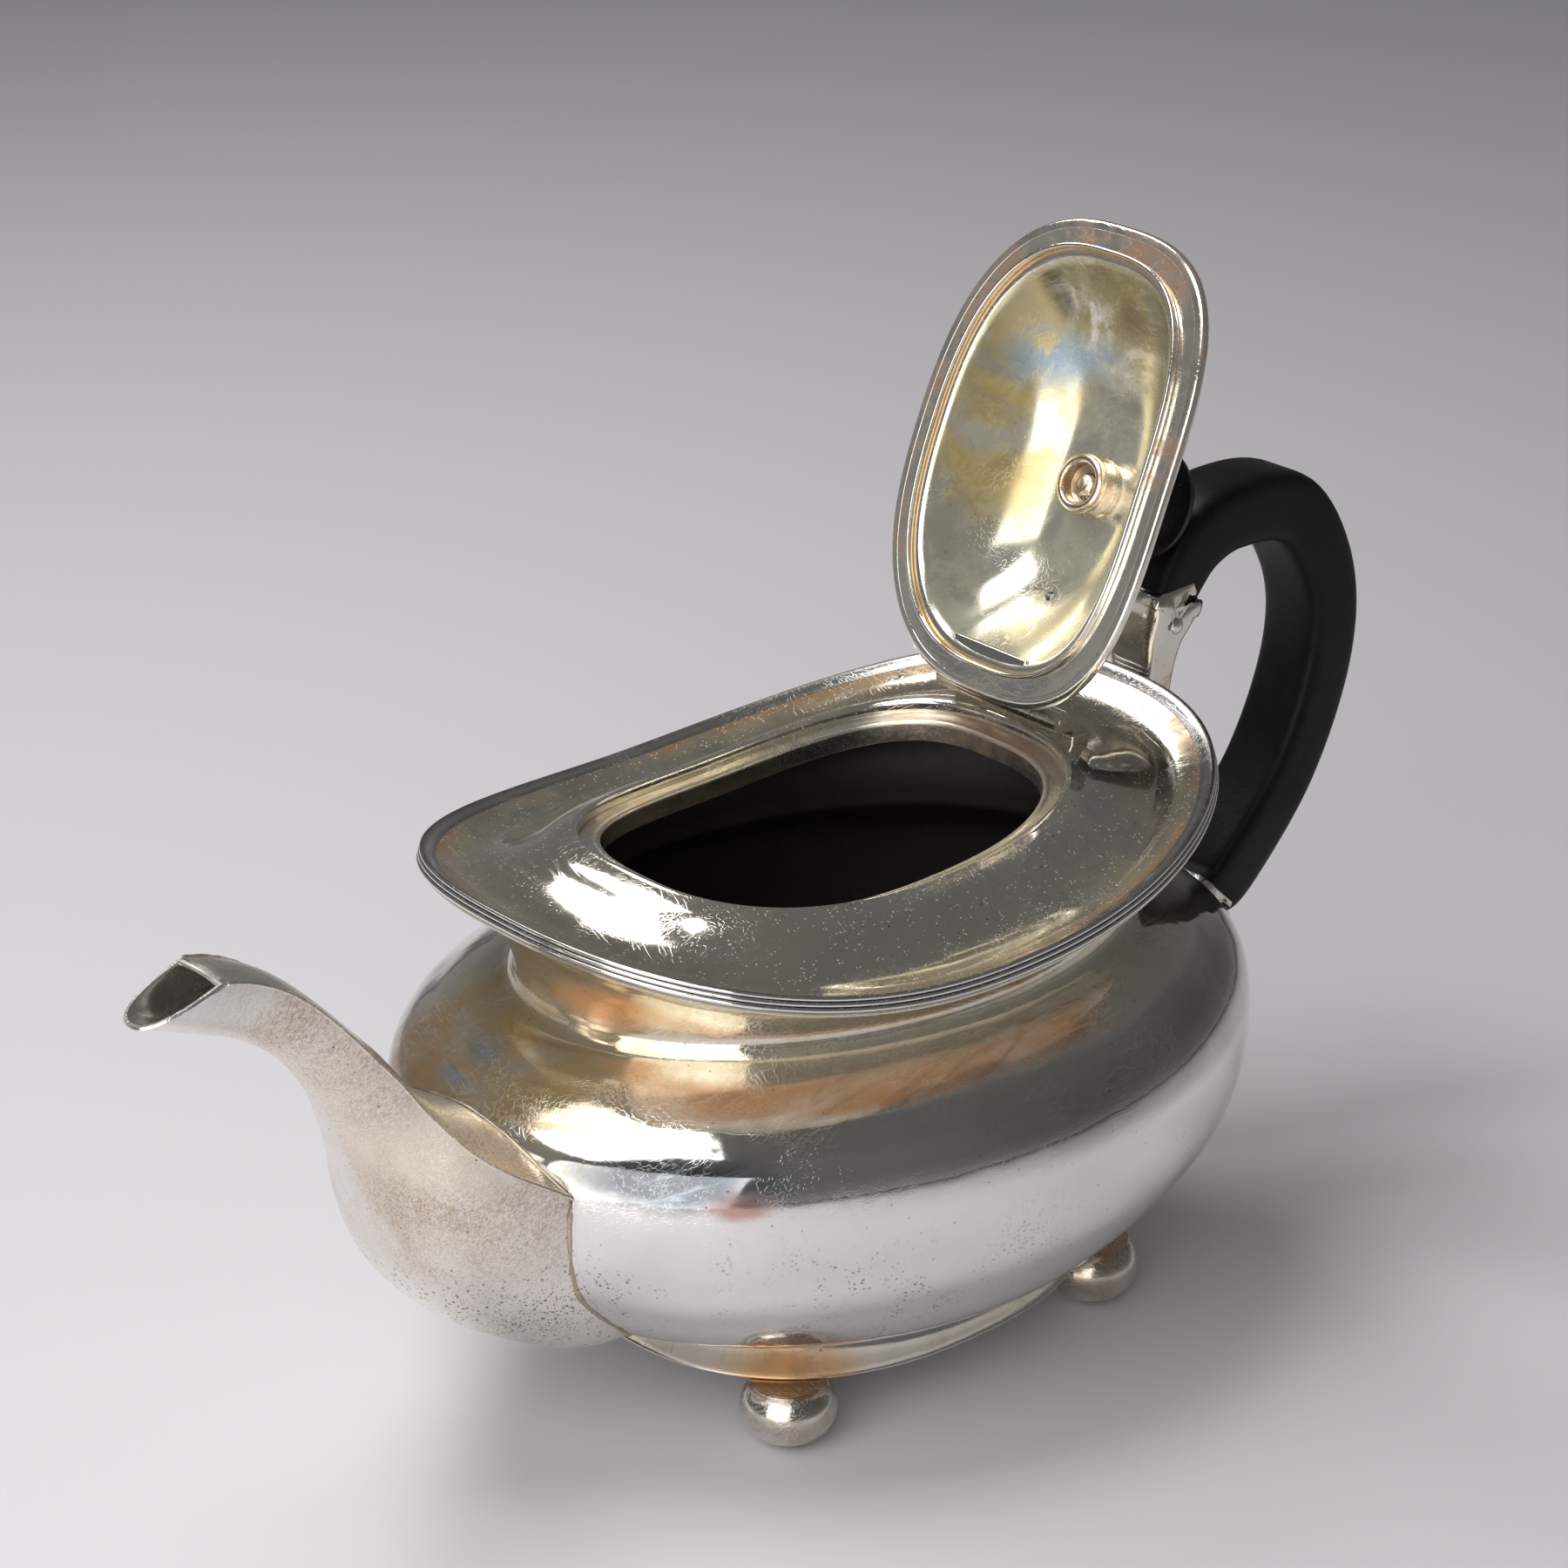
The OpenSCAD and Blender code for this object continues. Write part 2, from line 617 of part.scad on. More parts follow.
module knuckle(k, bore_d) {
    translate([hinge_x, -hinge_l / 2 + k * knuckle_pitch + knuckle_gap / 2, hinge_h])
        rotate([-90, 0, 0])
            difference() {
                cylinder(h = knuckle_pitch - knuckle_gap, r = knuckle_r);
                translate([0, 0, -over])
                    cylinder(h = knuckle_pitch + 2 * over, d = bore_d);
            }
}
// A web between a knuckle and its leaf, drawn as a polygon of x and z and extruded along Y
module web(outline, k) {
    difference() {
        translate([0, -hinge_l / 2 + (k + 1) * knuckle_pitch - knuckle_gap / 2, 0])
            rotate([90, 0, 0])
                linear_extrude(height = knuckle_pitch - knuckle_gap)
                    polygon(outline);
        translate([hinge_x, -hinge_l / 2 + k * knuckle_pitch - over, hinge_h])
            rotate([-90, 0, 0])
                cylinder(h = knuckle_pitch + 2 * over, r = knuckle_r - 0.6);
    }
}

module hinge_body_leaf() {
    leaf_t = 1.1;
    outline = [[hinge_x, hinge_h - knuckle_r], [hinge_x + 1, hinge_h - knuckle_r + 0.1],
               [pad_front_x + 0.4, pad_top_h + leaf_t - 0.2], [pad_front_x + 0.4, pad_top_h + 0.2],
               [pad_front_x + 2.4, pad_top_h + 0.2], [pad_front_x + 2.4, pad_top_h + leaf_t + 0.5],
               [hinge_x + knuckle_r, hinge_h + 0.2], [hinge_x, hinge_h]];
    color(silver)
        union() {
            translate([pad_front_x, -hinge_l / 2 + knuckle_gap / 2, pad_top_h])
                cube([pad_l, hinge_l - knuckle_gap, leaf_t]);
            for (k = [0, 2, 4]) {
                knuckle(k, hinge_pin_d + 0.02);
                web(outline, k);
            }
        }
}

module hinge_pin() {
    color(silver)
        translate([hinge_x, -hinge_l / 2, hinge_h])
            rotate([-90, 0, 0])
                cylinder(h = hinge_l, d = hinge_pin_d);
}

// ---- lid, modelled closed and then thrown back about the hinge line ----

module thrown_back() {
    translate([hinge_x, 0, hinge_h])
        rotate([0, lid_open, 0])
            translate([-hinge_x, 0, -hinge_h])
                children();
}

lid_inset = crest_roll + lid_gap;
flange_under_h = crest_h - ledge_drop + lid_lift;
function lid_plan(inset) = crest_plan(lid_inset + inset);
// Dome: share of the way from its foot to the middle, and height above the flange
dome_power = 2.2;
dome_flat = 0.2;
dome_steps = 9;
// Height of the small step at the foot of the dome
dome_step = 0.5;
finial_x = crest_x + 2;
function dome_ring(s, base, height, inset) =
    let (plan = lid_plan(flange_w + inset), q = dome_flat + (1 - dome_flat) * s)
    lift([for (p = plan) [mix(finial_x, p[0], q), p[1] * q]],
         base + height * (1 - pow(s, dome_power)), sheer * s);
dome_top_h = crest_h + dome_h;

module lid_form() {
    bottom = flange_under_h;
    top = bottom + lid_t;
    inside_rise = dome_top_h - bottom - dome_step;
    outside_rise = dome_top_h + lid_t - top - dome_step;
    barrel(concat(
        [for (i = [0 : dome_steps]) dome_ring(i / dome_steps, bottom + dome_step, inside_rise, lid_t)],
        [lift(lid_plan(flange_w - 0.4), bottom, sheer),
         lift(lid_plan(bead_w), bottom, sheer),
         lift(lid_plan(bead_w), top, sheer),
         lift(lid_plan(flange_w - 1.2), top, sheer)],
        [for (i = [dome_steps : -1 : 0]) dome_ring(i / dome_steps, top + dome_step, outside_rise, 0)]));
}

// The hinge's pad stands on the lid's flange, in front of the hinge line
lid_pad_x = hinge_x - 8.6;
lid_pad_l = 4.6;
lid_pad_top_h = hinge_h - 2.9;
module lid_dome() {
    color(silver)
        thrown_back()
            difference() {
                union() {
                    lid_form();
                    intersection() {
                        translate([lid_pad_x, -knuckle_pitch * 1.5, flange_under_h + 1])
                            cube([lid_pad_l, knuckle_pitch * 3, lid_pad_top_h - flange_under_h - 1]);
                        barrel([lift(lid_plan(bead_w), flange_under_h + lid_t / 2, sheer),
                                lift(lid_plan(bead_w), flange_under_h + 40, sheer)]);
                    }
                }
                translate([finial_x, 0, dome_top_h - over])
                    cylinder(h = 4, d = stud_d + 0.1);
                translate([finial_x + steam_hole_x, 0, dome_top_h - 14])
                    cylinder(h = 20, d = steam_hole_d);
            }
}

module lid_bead() {
    base = flange_under_h - 0.05;
    color(silver)
        thrown_back()
            tyre([lift(lid_plan(bead_w), base, sheer),
                  lift(lid_plan(0.5), base, sheer),
                  lift(lid_plan(0.1), base + 0.5, sheer),
                  lift(lid_plan(0), base + bead_h * 0.55, sheer),
                  lift(lid_plan(0.3), base + bead_h - 0.4, sheer),
                  lift(lid_plan(0.9), base + bead_h, sheer),
                  lift(lid_plan(bead_w - 0.5), base + bead_h - 0.2, sheer),
                  lift(lid_plan(bead_w), base + bead_h - 0.8, sheer)]);
}

module lid_ridge() {
    out = flange_w - 1.5;
    color(gilt)
        thrown_back()
            tyre([lift(lid_plan(out + ridge_t), flange_under_h - ridge_h, sheer),
                  lift(lid_plan(out), flange_under_h - ridge_h, sheer),
                  lift(lid_plan(out), flange_under_h, sheer),
                  lift(lid_plan(out + ridge_t), flange_under_h, sheer)]);
}

module hinge_lid_leaf() {
    leaf_t = 1;
    leaf_l = lid_pad_l - 1;
    outline = [[hinge_x, hinge_h - knuckle_r], [hinge_x - knuckle_r, hinge_h],
               [hinge_x - 2.6, lid_pad_top_h + leaf_t], [lid_pad_x + 3, lid_pad_top_h + leaf_t],
               [lid_pad_x + 3, lid_pad_top_h + 0.2], [hinge_x - 3.4, lid_pad_top_h + 0.2]];
    color(silver)
        thrown_back()
            union() {
                translate([lid_pad_x + 1, -knuckle_pitch * 1.5 + knuckle_gap / 2, lid_pad_top_h])
                    cube([leaf_l, knuckle_pitch * 3 - knuckle_gap, leaf_t]);
                for (k = [1, 3]) {
                    knuckle(k, hinge_pin_d + 2 * pin_play);
                    web(outline, k);
                }
            }
}

// ---- finial ----

module on_dome(rise) {
    thrown_back()
        translate([finial_x, 0, dome_top_h + lid_t + rise])
            children();
}

module finial_base() {
    r = stud_d / 2 + 0.1;
    color(silver)
        on_dome(0)
            rotate_extrude()
                polygon([[r, 0], [4.6, 0], [4.8, 0.5], [3.8, 1.2], [3.4, 2], [4, 2.8],
                         [6.2, finial_base_h - 0.8], [6.4, finial_base_h - 0.3],
                         [6, finial_base_h], [r, finial_base_h]]);
}

module finial_button() {
    r = button_d / 2;
    neck = 4.6;
    belly = button_h * 0.56;
    color(ebony)
        on_dome(finial_base_h)
            difference() {
                rotate_extrude()
                    polygon(concat(
                        [[0, 0], [neck + 1, 0]],
                        [for (i = [0 : 8]) let (t = 90 * i / 8)
                             [r - (r - neck) * cos(t), 0.8 + (belly - 0.8) * sin(t)]],
                        [for (i = [1 : 12]) let (t = 90 * i / 12)
                             [r * cos(t), belly + (button_h - belly) * sin(t)]]));
                translate([0, 0, -over])
                    cylinder(h = 7 + over, d = stud_d + 0.04);
            }
}

module finial_stud() {
    below = nut_h - 1.2 + lid_t;
    color(silver)
        on_dome(-below)
            cylinder(h = below + finial_base_h + 6.5, d = stud_d);
}

module finial_nut() {
    r = nut_d / 2;
    color(silver)
        on_dome(-lid_t - nut_h)
            rotate_extrude()
                polygon([[stud_d / 2 + 0.03, 2.6], [3.7, 2.6], [3.7, 0.4], [4.1, 0],
                         [r - 0.9, 0], [r, 0.9], [r, nut_h - 0.8], [r - 0.4, nut_h],
                         [stud_d / 2 + 0.03, nut_h]]);
}

body_shell();
rim_wire();
cover();
seat_bezel();
spout();
base_collar();
bottom_plate();
foot_front_left();
foot_front_right();
foot_rear_left();
foot_rear_right();
upper_socket();
lower_socket();
handle();
upper_handle_pin();
lower_handle_pin();
hinge_body_leaf();
hinge_pin();
hinge_lid_leaf();
lid_dome();
lid_bead();
lid_ridge();
finial_base();
finial_button();
finial_stud();
finial_nut();
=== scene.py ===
"""The silver teapot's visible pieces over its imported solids, with their finishes, floor, light and camera."""

import math

import bpy
import bmesh
import numpy as np
from mathutils import Matrix

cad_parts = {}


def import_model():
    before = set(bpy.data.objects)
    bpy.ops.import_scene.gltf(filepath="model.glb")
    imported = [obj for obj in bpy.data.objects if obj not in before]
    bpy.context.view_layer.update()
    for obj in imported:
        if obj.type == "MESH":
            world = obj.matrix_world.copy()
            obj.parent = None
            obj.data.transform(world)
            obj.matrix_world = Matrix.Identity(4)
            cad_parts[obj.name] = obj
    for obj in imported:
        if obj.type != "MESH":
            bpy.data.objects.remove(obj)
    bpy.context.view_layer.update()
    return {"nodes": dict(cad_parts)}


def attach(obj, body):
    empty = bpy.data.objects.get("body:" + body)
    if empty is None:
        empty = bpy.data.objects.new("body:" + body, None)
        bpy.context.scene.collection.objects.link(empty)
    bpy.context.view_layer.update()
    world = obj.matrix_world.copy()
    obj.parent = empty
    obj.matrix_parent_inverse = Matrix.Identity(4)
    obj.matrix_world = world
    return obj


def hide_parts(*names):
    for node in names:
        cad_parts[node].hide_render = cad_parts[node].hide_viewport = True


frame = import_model()

MM = 0.001
# Points round a plan, a thin bead and a drilled hole
PLAN_POINTS, BEAD_SIDES, HOLE_SIDES = 256, 10, 20

# ---------------- sizes, in mm, as in the part's source

BELLY_L, BELLY_W, BELLY_H, BELLY_X = 170.4, 133.8, 52.0, 7.0
BOTTOM_H, BOTTOM_INSET, NECK_INSET = 17.5, 37.0, 23.7
WIDTH_SHARE, SHOULDER_SHARE = 0.68, 0.92
RIM_FRONT, RIM_REAR, RIM_W, RIM_H, RIM_RISE = 66.0, 80.6, 113.4, 90.3, 14.1
NECK_H = RIM_H - 11.3
WALL = 0.9
REED_BAND, REED_H, BODY_EDGE = 3.2, 2.8, 0.9
CREST_L, CREST_W, CREST_X = 90.8, 66.0, 6.25
CREST_H = RIM_H + 7.2
CREST_ROLL, LEDGE_W, LEDGE_DROP, BEZEL_DEPTH = 1.4, 3.6, 2.0, 3.8
HINGE_X, HINGE_H, HINGE_L = CREST_X + 43, CREST_H + 10.2, 31.0
LID_OPEN = 114.7
LID_INSET = CREST_ROLL + 0.3
LID_UNDER = CREST_H - LEDGE_DROP + 0.25
LID_T, BEAD_W, BEAD_H, FLANGE_W = 0.9, 1.9, 2.0, 6.4
DOME_TOP = CREST_H + 16.7
DOME_POWER = 2.2
FINIAL_X = CREST_X + 2
BASE_L, BASE_W, BASE_X, BASE_H = 97.0, 87.0, 5.0, 12.2
SPOUT_X, SPOUT_H, MOUTH_HALF, ROOT_HALF = -137.5, 109.5, 6.2, 25.5
BELLY_N, RIM_N, CREST_N, BASE_N = 1.95, 2.42, 2.78, 2.33
SHEER = RIM_RISE / RIM_REAR ** 2

# ---------------- shapes


def around(count):
    """Angles evenly round a circle."""
    return np.linspace(0, 2 * np.pi, count, endpoint=False)


def unit(v):
    """Vectors of length 1."""
    return v / np.linalg.norm(v, axis=-1, keepdims=True)


def boxy(v, power):
    """A sine or cosine, bent so that its ring comes nearer to a rectangle."""
    return np.sign(v) * np.abs(v) ** power


def oval(middle, front, rear, half_w, n, inset=0.0):
    """Plan of an oval piece: a superellipse with different front and rear halves."""
    t = around(PLAN_POINTS)
    c, s = np.cos(t), np.sin(t)
    a = np.where(c < 0, front, rear) - inset
    b = half_w - inset
    r = ((np.abs(c) / a) ** n + (np.abs(s) / b) ** n) ** (-1 / n)
    return np.stack([middle + r * c, r * s], 1)


def belly_plan(inset, share=WIDTH_SHARE):
    a = BELLY_L / 2 - inset
    return oval(BELLY_X, a, a, BELLY_W / 2 - share * inset, BELLY_N)


def rim_plan(inset):
    return oval(0, RIM_FRONT, RIM_REAR, RIM_W / 2, RIM_N, inset)


def crest_plan(inset):
    return oval(CREST_X, CREST_L / 2, CREST_L / 2, CREST_W / 2, CREST_N, inset)


def base_plan(inset):
    return oval(BASE_X, BASE_L / 2, BASE_L / 2, BASE_W / 2, BASE_N, inset)


def lid_plan(inset):
    return crest_plan(LID_INSET + inset)


def lift(plan, z, rise=0.0):
    """A plan at height z, rising towards its two ends."""
    return np.column_stack([plan, z + rise * plan[:, 0] ** 2])


def curve(points, steps):
    """A smooth line through points."""
    p = np.asarray(points, float)
    out = []
    for i in range(len(p) - 1):
        a, b, c, d = p[max(i - 1, 0)], p[i], p[i + 1], p[min(i + 2, len(p) - 1)]
        for k in range(steps):
            t = k / steps
            out.append(0.5 * (2 * b + (c - a) * t + (2 * a - 5 * b + 4 * c - d) * t ** 2
                              + (3 * b - a - 3 * c + d) * t ** 3))
    return np.array(out + [p[-1]])


def eased(section, radius=0.25, steps=3):
    """A closed section with its corners rounded off."""
    p = np.asarray(section, float)
    out = []
    for i in range(len(p)):
        a, b, c = p[i - 1], p[i], p[(i + 1) % len(p)]
        s, e = (b + (q - b) * min(radius / np.linalg.norm(q - b), 0.45) for q in (a, c))
        for k in range(steps + 1):
            t = k / steps
            out.append((1 - t) ** 2 * s + 2 * t * (1 - t) * b + t ** 2 * e)
    return np.array(out)


def arc(cx, cz, r, start, end, steps):
    """Points on a circle, from one angle to another in degrees."""
    t = np.radians(np.linspace(start, end, steps))
    return np.column_stack([cx + r * np.cos(t), cz + r * np.sin(t)])


def ring_faces(rows, columns, join=False):
    """Quads between rings that each close on themselves, with a cap at both ends unless they join."""
    i = np.arange(rows if join else rows - 1)[:, None]
    j = np.arange(columns)[None, :]
    corners = [(r % rows) * columns + c % columns for r, c in ((i, j), (i, j + 1), (i + 1, j + 1), (i + 1, j))]
    caps = [] if join else [list(range(columns))[::-1], list(range((rows - 1) * columns, rows * columns))]
    return np.stack(corners, 2).reshape(-1, 4).tolist() + caps


def linked(name, data):
    """A new object in the scene."""
    obj = bpy.data.objects.new(name, data)
    bpy.context.scene.collection.objects.link(obj)
    return obj


def faced(name, points, faces, layers):
    """A mesh from points in mm, with its faces turned outwards and a number for each point in each layer."""
    mesh = bpy.data.meshes.new(name)
    mesh.from_pydata((np.asarray(points, float) * MM).tolist(), [], faces)
    for layer, values in layers.items():
        mesh.attributes.new(layer, "FLOAT", "POINT").data.foreach_set("value", np.asarray(values, float))
    work = bmesh.new()
    work.from_mesh(mesh)
    bmesh.ops.recalc_face_normals(work, faces=work.faces)
    work.to_mesh(mesh)
    work.free()
    return mesh


def piece(name, points, faces, body, finish, slot=None, stands_for=None, sharp=38, layers=None):
    """A smooth piece of the object on its body. Its slot is named like its finish, less the number that Blender may
    add; the slot argument is not used. It stands for the solid of its own name unless others, or none, are given."""
    mesh = faced(name, points, faces, layers or {})
    mesh.polygons.foreach_set("use_smooth", [True] * len(mesh.polygons))
    mesh.set_sharp_from_angle(angle=math.radians(sharp))
    obj = linked(name, mesh)
    mesh.materials.append(finish)
    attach(obj, body)
    stands_for = (name,) if stands_for is None else stands_for
    if stands_for:
        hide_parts(*stands_for)
    return obj


def lofted(name, rings, body, finish, join=False, **more):
    """A piece between rings. With join, the last ring meets the first; otherwise both ends are capped."""
    rings = np.asarray(rings, float)
    faces = ring_faces(*rings.shape[:2], join)
    return piece(name, rings.reshape(-1, 3), faces, body, finish, **more)


def banded(name, plan, section, body, finish, turned=False, **more):
    """A band that follows a plan: its section is a list of inset and height."""
    rings = np.array([lift(plan(i), z, SHEER) for i, z in section])
    if turned:
        rings = thrown_back(rings)
    return lofted(name, rings, body, finish, join=True, **more)


def thrown_back(points):
    """Turns points of the closed lid about the hinge line, to where it stands open."""
    a = math.radians(LID_OPEN)
    x, z = points[..., 0] - HINGE_X, points[..., 2] - HINGE_H
    return np.stack([HINGE_X + x * math.cos(a) + z * math.sin(a), points[..., 1],
                     HINGE_H - x * math.sin(a) + z * math.cos(a)], -1)


def tube(name, line, radius, finish, closed=False, **more):
    """A thin bead on the spout, along a line with a radius for each point. It stands for no solid."""
    line = np.asarray(line, float)
    along = unit(np.roll(line, -1, axis=0) - np.roll(line, 1, axis=0) if closed else np.gradient(line, axis=0))
    side = unit(np.cross(along, (0.2, 0.3, 0.93)))
    other = np.cross(along, side)
    t = around(BEAD_SIDES)
    rings = line[:, None] + radius[:, None, None] * (side[:, None] * np.cos(t)[:, None]
                                                     + other[:, None] * np.sin(t)[:, None])
    return lofted(name, rings, "pot", finish, join=closed, slot="spout_silver", stands_for=(), **more)


def turned_rings(profile, steps=96):
    """Rings of a piece turned on a lathe about Z: its profile is a list of radius and height."""
    t = around(steps)
    return np.array([np.column_stack([r * np.cos(t), r * np.sin(t), np.full(steps, z)]) for r, z in profile])


def on_dome(rings, height):
    """Moves rings from the origin to the top of the lid's dome, and turns them with the lid."""
    return thrown_back(rings + np.array([FINIAL_X, 0, DOME_TOP + LID_T + height]))


# ---------------- finishes


def arithmetic(operation):
    """The two methods of an operator: with the varying number first, and with it second."""
    return (lambda number, other: number._math(operation, number, other),
            lambda number, other: number._math(operation, other, number))


class Number:
    """A number that varies over a surface. Arithmetic on it adds Math nodes."""

    def __init__(self, finish, socket):
        self.finish, self.socket = finish, socket

    def _math(self, operation, *values, clamp=False):
        return self.finish.number(0, "ShaderNodeMath", {"operation": operation, "use_clamp": clamp},
                                  dict(enumerate(values)))

    __add__, __radd__ = arithmetic("ADD")
    __sub__, __rsub__ = arithmetic("SUBTRACT")
    __mul__, __rmul__ = arithmetic("MULTIPLY")

    def larger(self, other):
        return self._math("MAXIMUM", self, other)

    def clip(self):
        return self._math("ADD", self, 0.0, clamp=True)

    def size(self):
        return self._math("ABSOLUTE", self)

    def step(self, low, high):
        """0 below low and 1 above high, with a soft step between; low may be above high."""
        return self.finish.number(0, "ShaderNodeMapRange", {"interpolation_type": "SMOOTHSTEP"},
                                  {0: self, 1: low, 2: high, 3: 0.0, 4: 1.0})


class Finish:
    """A procedural finish on one Principled shader."""

    def __init__(self, name, **settings):
        self.material = bpy.data.materials.new(name)
        self.material.use_nodes = True
        self.tree = self.material.node_tree
        self.shader = self.tree.nodes["Principled BSDF"]
        for socket, value in settings.items():
            self.shader.inputs[socket.replace("_", " ")].default_value = value
        self.where = self.node("ShaderNodeTexCoord").outputs["Object"]
        axes = self.node("ShaderNodeSeparateXYZ", {}, {0: self.where})
        # Places along the object, in mm
        self.x, self.y, self.z = (Number(self, axes.outputs[i]) * 1000.0 for i in range(3))

    def node(self, kind, settings=None, values=None):
        node = self.tree.nodes.new(kind)
        for key, value in (settings or {}).items():
            setattr(node, key, value)
        for key, value in (values or {}).items():
            self.wire(node.inputs[key], value)
        return node

    def wire(self, socket, value):
        """Links a varying value to a socket, or sets a constant on it."""
        if isinstance(value, Number):
            value = value.socket
        if isinstance(value, bpy.types.NodeSocket):
            self.tree.links.new(value, socket)
        elif isinstance(value, tuple) and socket.type == "RGBA":
            socket.default_value = (*value, 1.0)[:4]
        else:
            socket.default_value = value

    def number(self, output, kind, settings=None, values=None):
        return Number(self, self.node(kind, settings, values).outputs[output])

    def layer(self, name):
        return self.number("Fac", "ShaderNodeAttribute", {"attribute_name": name})

    def noise(self, scale, detail, rough, warp=0.0, stretch=None, turn=(0, 0, 0)):
        """A cloud. Its coordinates may be scaled along each axis after a turn in degrees, for grain and hairlines."""
        at = self.where
        if stretch:
            for key, value in (("Rotation", tuple(math.radians(a) for a in turn)), ("Scale", stretch)):
                at = self.node("ShaderNodeMapping", {"vector_type": "POINT"}, {"Vector": at, key: value}).outputs[0]
        return self.number("Fac", "ShaderNodeTexNoise", {}, {"Vector": at, "Scale": scale, "Detail": detail,
                                                             "Roughness": rough, "Distortion": warp})

    def near(self, place, reach, ragged=0.0, grain=60.0):
        """A soft patch round a place in mm: 1 in its middle, 0 past its reach."""
        at = self.where
        for operation, key, value in (("SCALE", "Scale", 1000.0), ("SUBTRACT", 1, place), ("DIVIDE", 1, reach)):
            at = self.node("ShaderNodeVectorMath", {"operation": operation}, {0: at, key: value}).outputs[0]
        length = self.number("Value", "ShaderNodeVectorMath", {"operation": "LENGTH"}, {0: at})
        if ragged:
            length = length + (self.noise(grain, 5.0, 0.6) - 0.5) * ragged
        return length.step(1.0, 0.35)

    def mix(self, share, first, second):
        """Colours mixed by share; each is a colour or a socket."""
        return self.node("ShaderNodeMix", {"data_type": "RGBA", "clamp_factor": True},
                         {"Factor": share, 6: first, 7: second}).outputs[2]

    def hairlines(self, turns, scale=900.0, thin=0.035, stretch=0.03):
        """Fine straight scratches in a few directions: 1 on a scratch."""
        lines = None
        for k, turn in enumerate(turns):
            field = self.noise(scale * (1 + 0.23 * k), 1.0, 0.4, 0.12, (1.0, stretch, 1.0), turn)
            line = (field - 0.5).size().step(thin, thin * 0.25)
            patch = self.noise(55.0 + 21 * k, 2.0, 0.5, 0.0, (1, 1, 1), (turn[2], turn[0], 31))
            line = line * patch.step(0.47, 0.62)
            lines = line if lines is None else lines.larger(line)
        return lines

    def specks(self, scale=520.0, size=0.16, share=(0.52, 0.6)):
        """Small pits and specks, in patches."""
        cells = self.number("Distance", "ShaderNodeTexVoronoi", {}, {"Vector": self.where, "Scale": scale})
        return cells.step(size, size * 0.4) * self.noise(scale * 0.35, 2.0, 0.6).step(*share)

    def set(self, socket, value):
        self.wire(self.shader.inputs[socket], value)

    def bump(self, height, distance, strength, under=None):
        """Relief in metres on the shader's normal, over any relief that is under it."""
        values = {"Height": height, "Distance": distance, "Strength": strength}
        if under is not None:
            values["Normal"] = under
        normal = self.node("ShaderNodeBump", {}, values).outputs[0]
        self.set("Normal", normal)
        return normal


SILVER = (0.86, 0.845, 0.815)
STRAW = (0.78, 0.66, 0.42)
AMBER = (0.6, 0.38, 0.17)
BROWN = (0.26, 0.15, 0.08)
SOOT = (0.07, 0.05, 0.04)
ROSE = (0.8, 0.6, 0.48)
CROSSWISE = ((0, 0, 20), (35, 0, 80), (0, 50, -35))


def silver(name, colour=SILVER, *, polish, haze, colour_layers, scratched=1.0, wavy=1.0, pitted=0.5, lines=CROSSWISE):
    """Worn polished silver. Its layers come from a function that returns layers of tarnished colour, and on the body
    and spout also of painted shade and painted dark reflection, each as (mask, colour, added roughness, share of the
    light that the film scatters)."""
    f = Finish(name, Metallic=1.0)
    cloud = f.noise(28.0, 5.0, 0.6)
    fine = f.noise(240.0, 4.0, 0.6)
    scratch = f.hairlines(lines)
    speck = f.specks()
    tone = f.mix(cloud.step(0.35, 0.75) * 0.35, colour, tuple(c * m for c, m in zip(colour, (0.93, 0.91, 0.86))))
    tone = f.mix(fine.step(0.45, 0.8) * 0.22, tone, tuple(c * 0.88 for c in colour))
    rough = polish + haze * cloud.step(0.35, 0.8) * fine.step(0.2, 0.8) + 0.08 * scratch * scratched
    metal = 1.0 - 0.03 * cloud
    # Each layer is tarnish, or on the body and spout painted shade or a painted dark reflection
    for mask, layer_colour, dull, *film in colour_layers(f):
        tone = f.mix(mask, tone, layer_colour)
        rough = rough + mask * dull
        if film:
            metal = metal - mask * film[0]
    tone = f.mix(speck * pitted, tone, SOOT)
    metal = metal.clip()
    tone = f.mix(scratch * 0.25 * scratched * metal, tone, (0.95, 0.93, 0.9))
    f.set("Base Color", tone)
    f.set("Metallic", metal)
    f.set("Roughness", (rough + speck * 0.2 * pitted).clip())
    waves = f.bump(f.noise(30.0, 2.0, 0.45) + 0.25 * f.noise(95.0, 2.0, 0.5), 0.0011 * wavy, 0.4)
    f.bump(scratch * -0.3 * scratched + fine * 0.2 - speck * pitted, 0.00004, 0.5, waves)
    return f.material


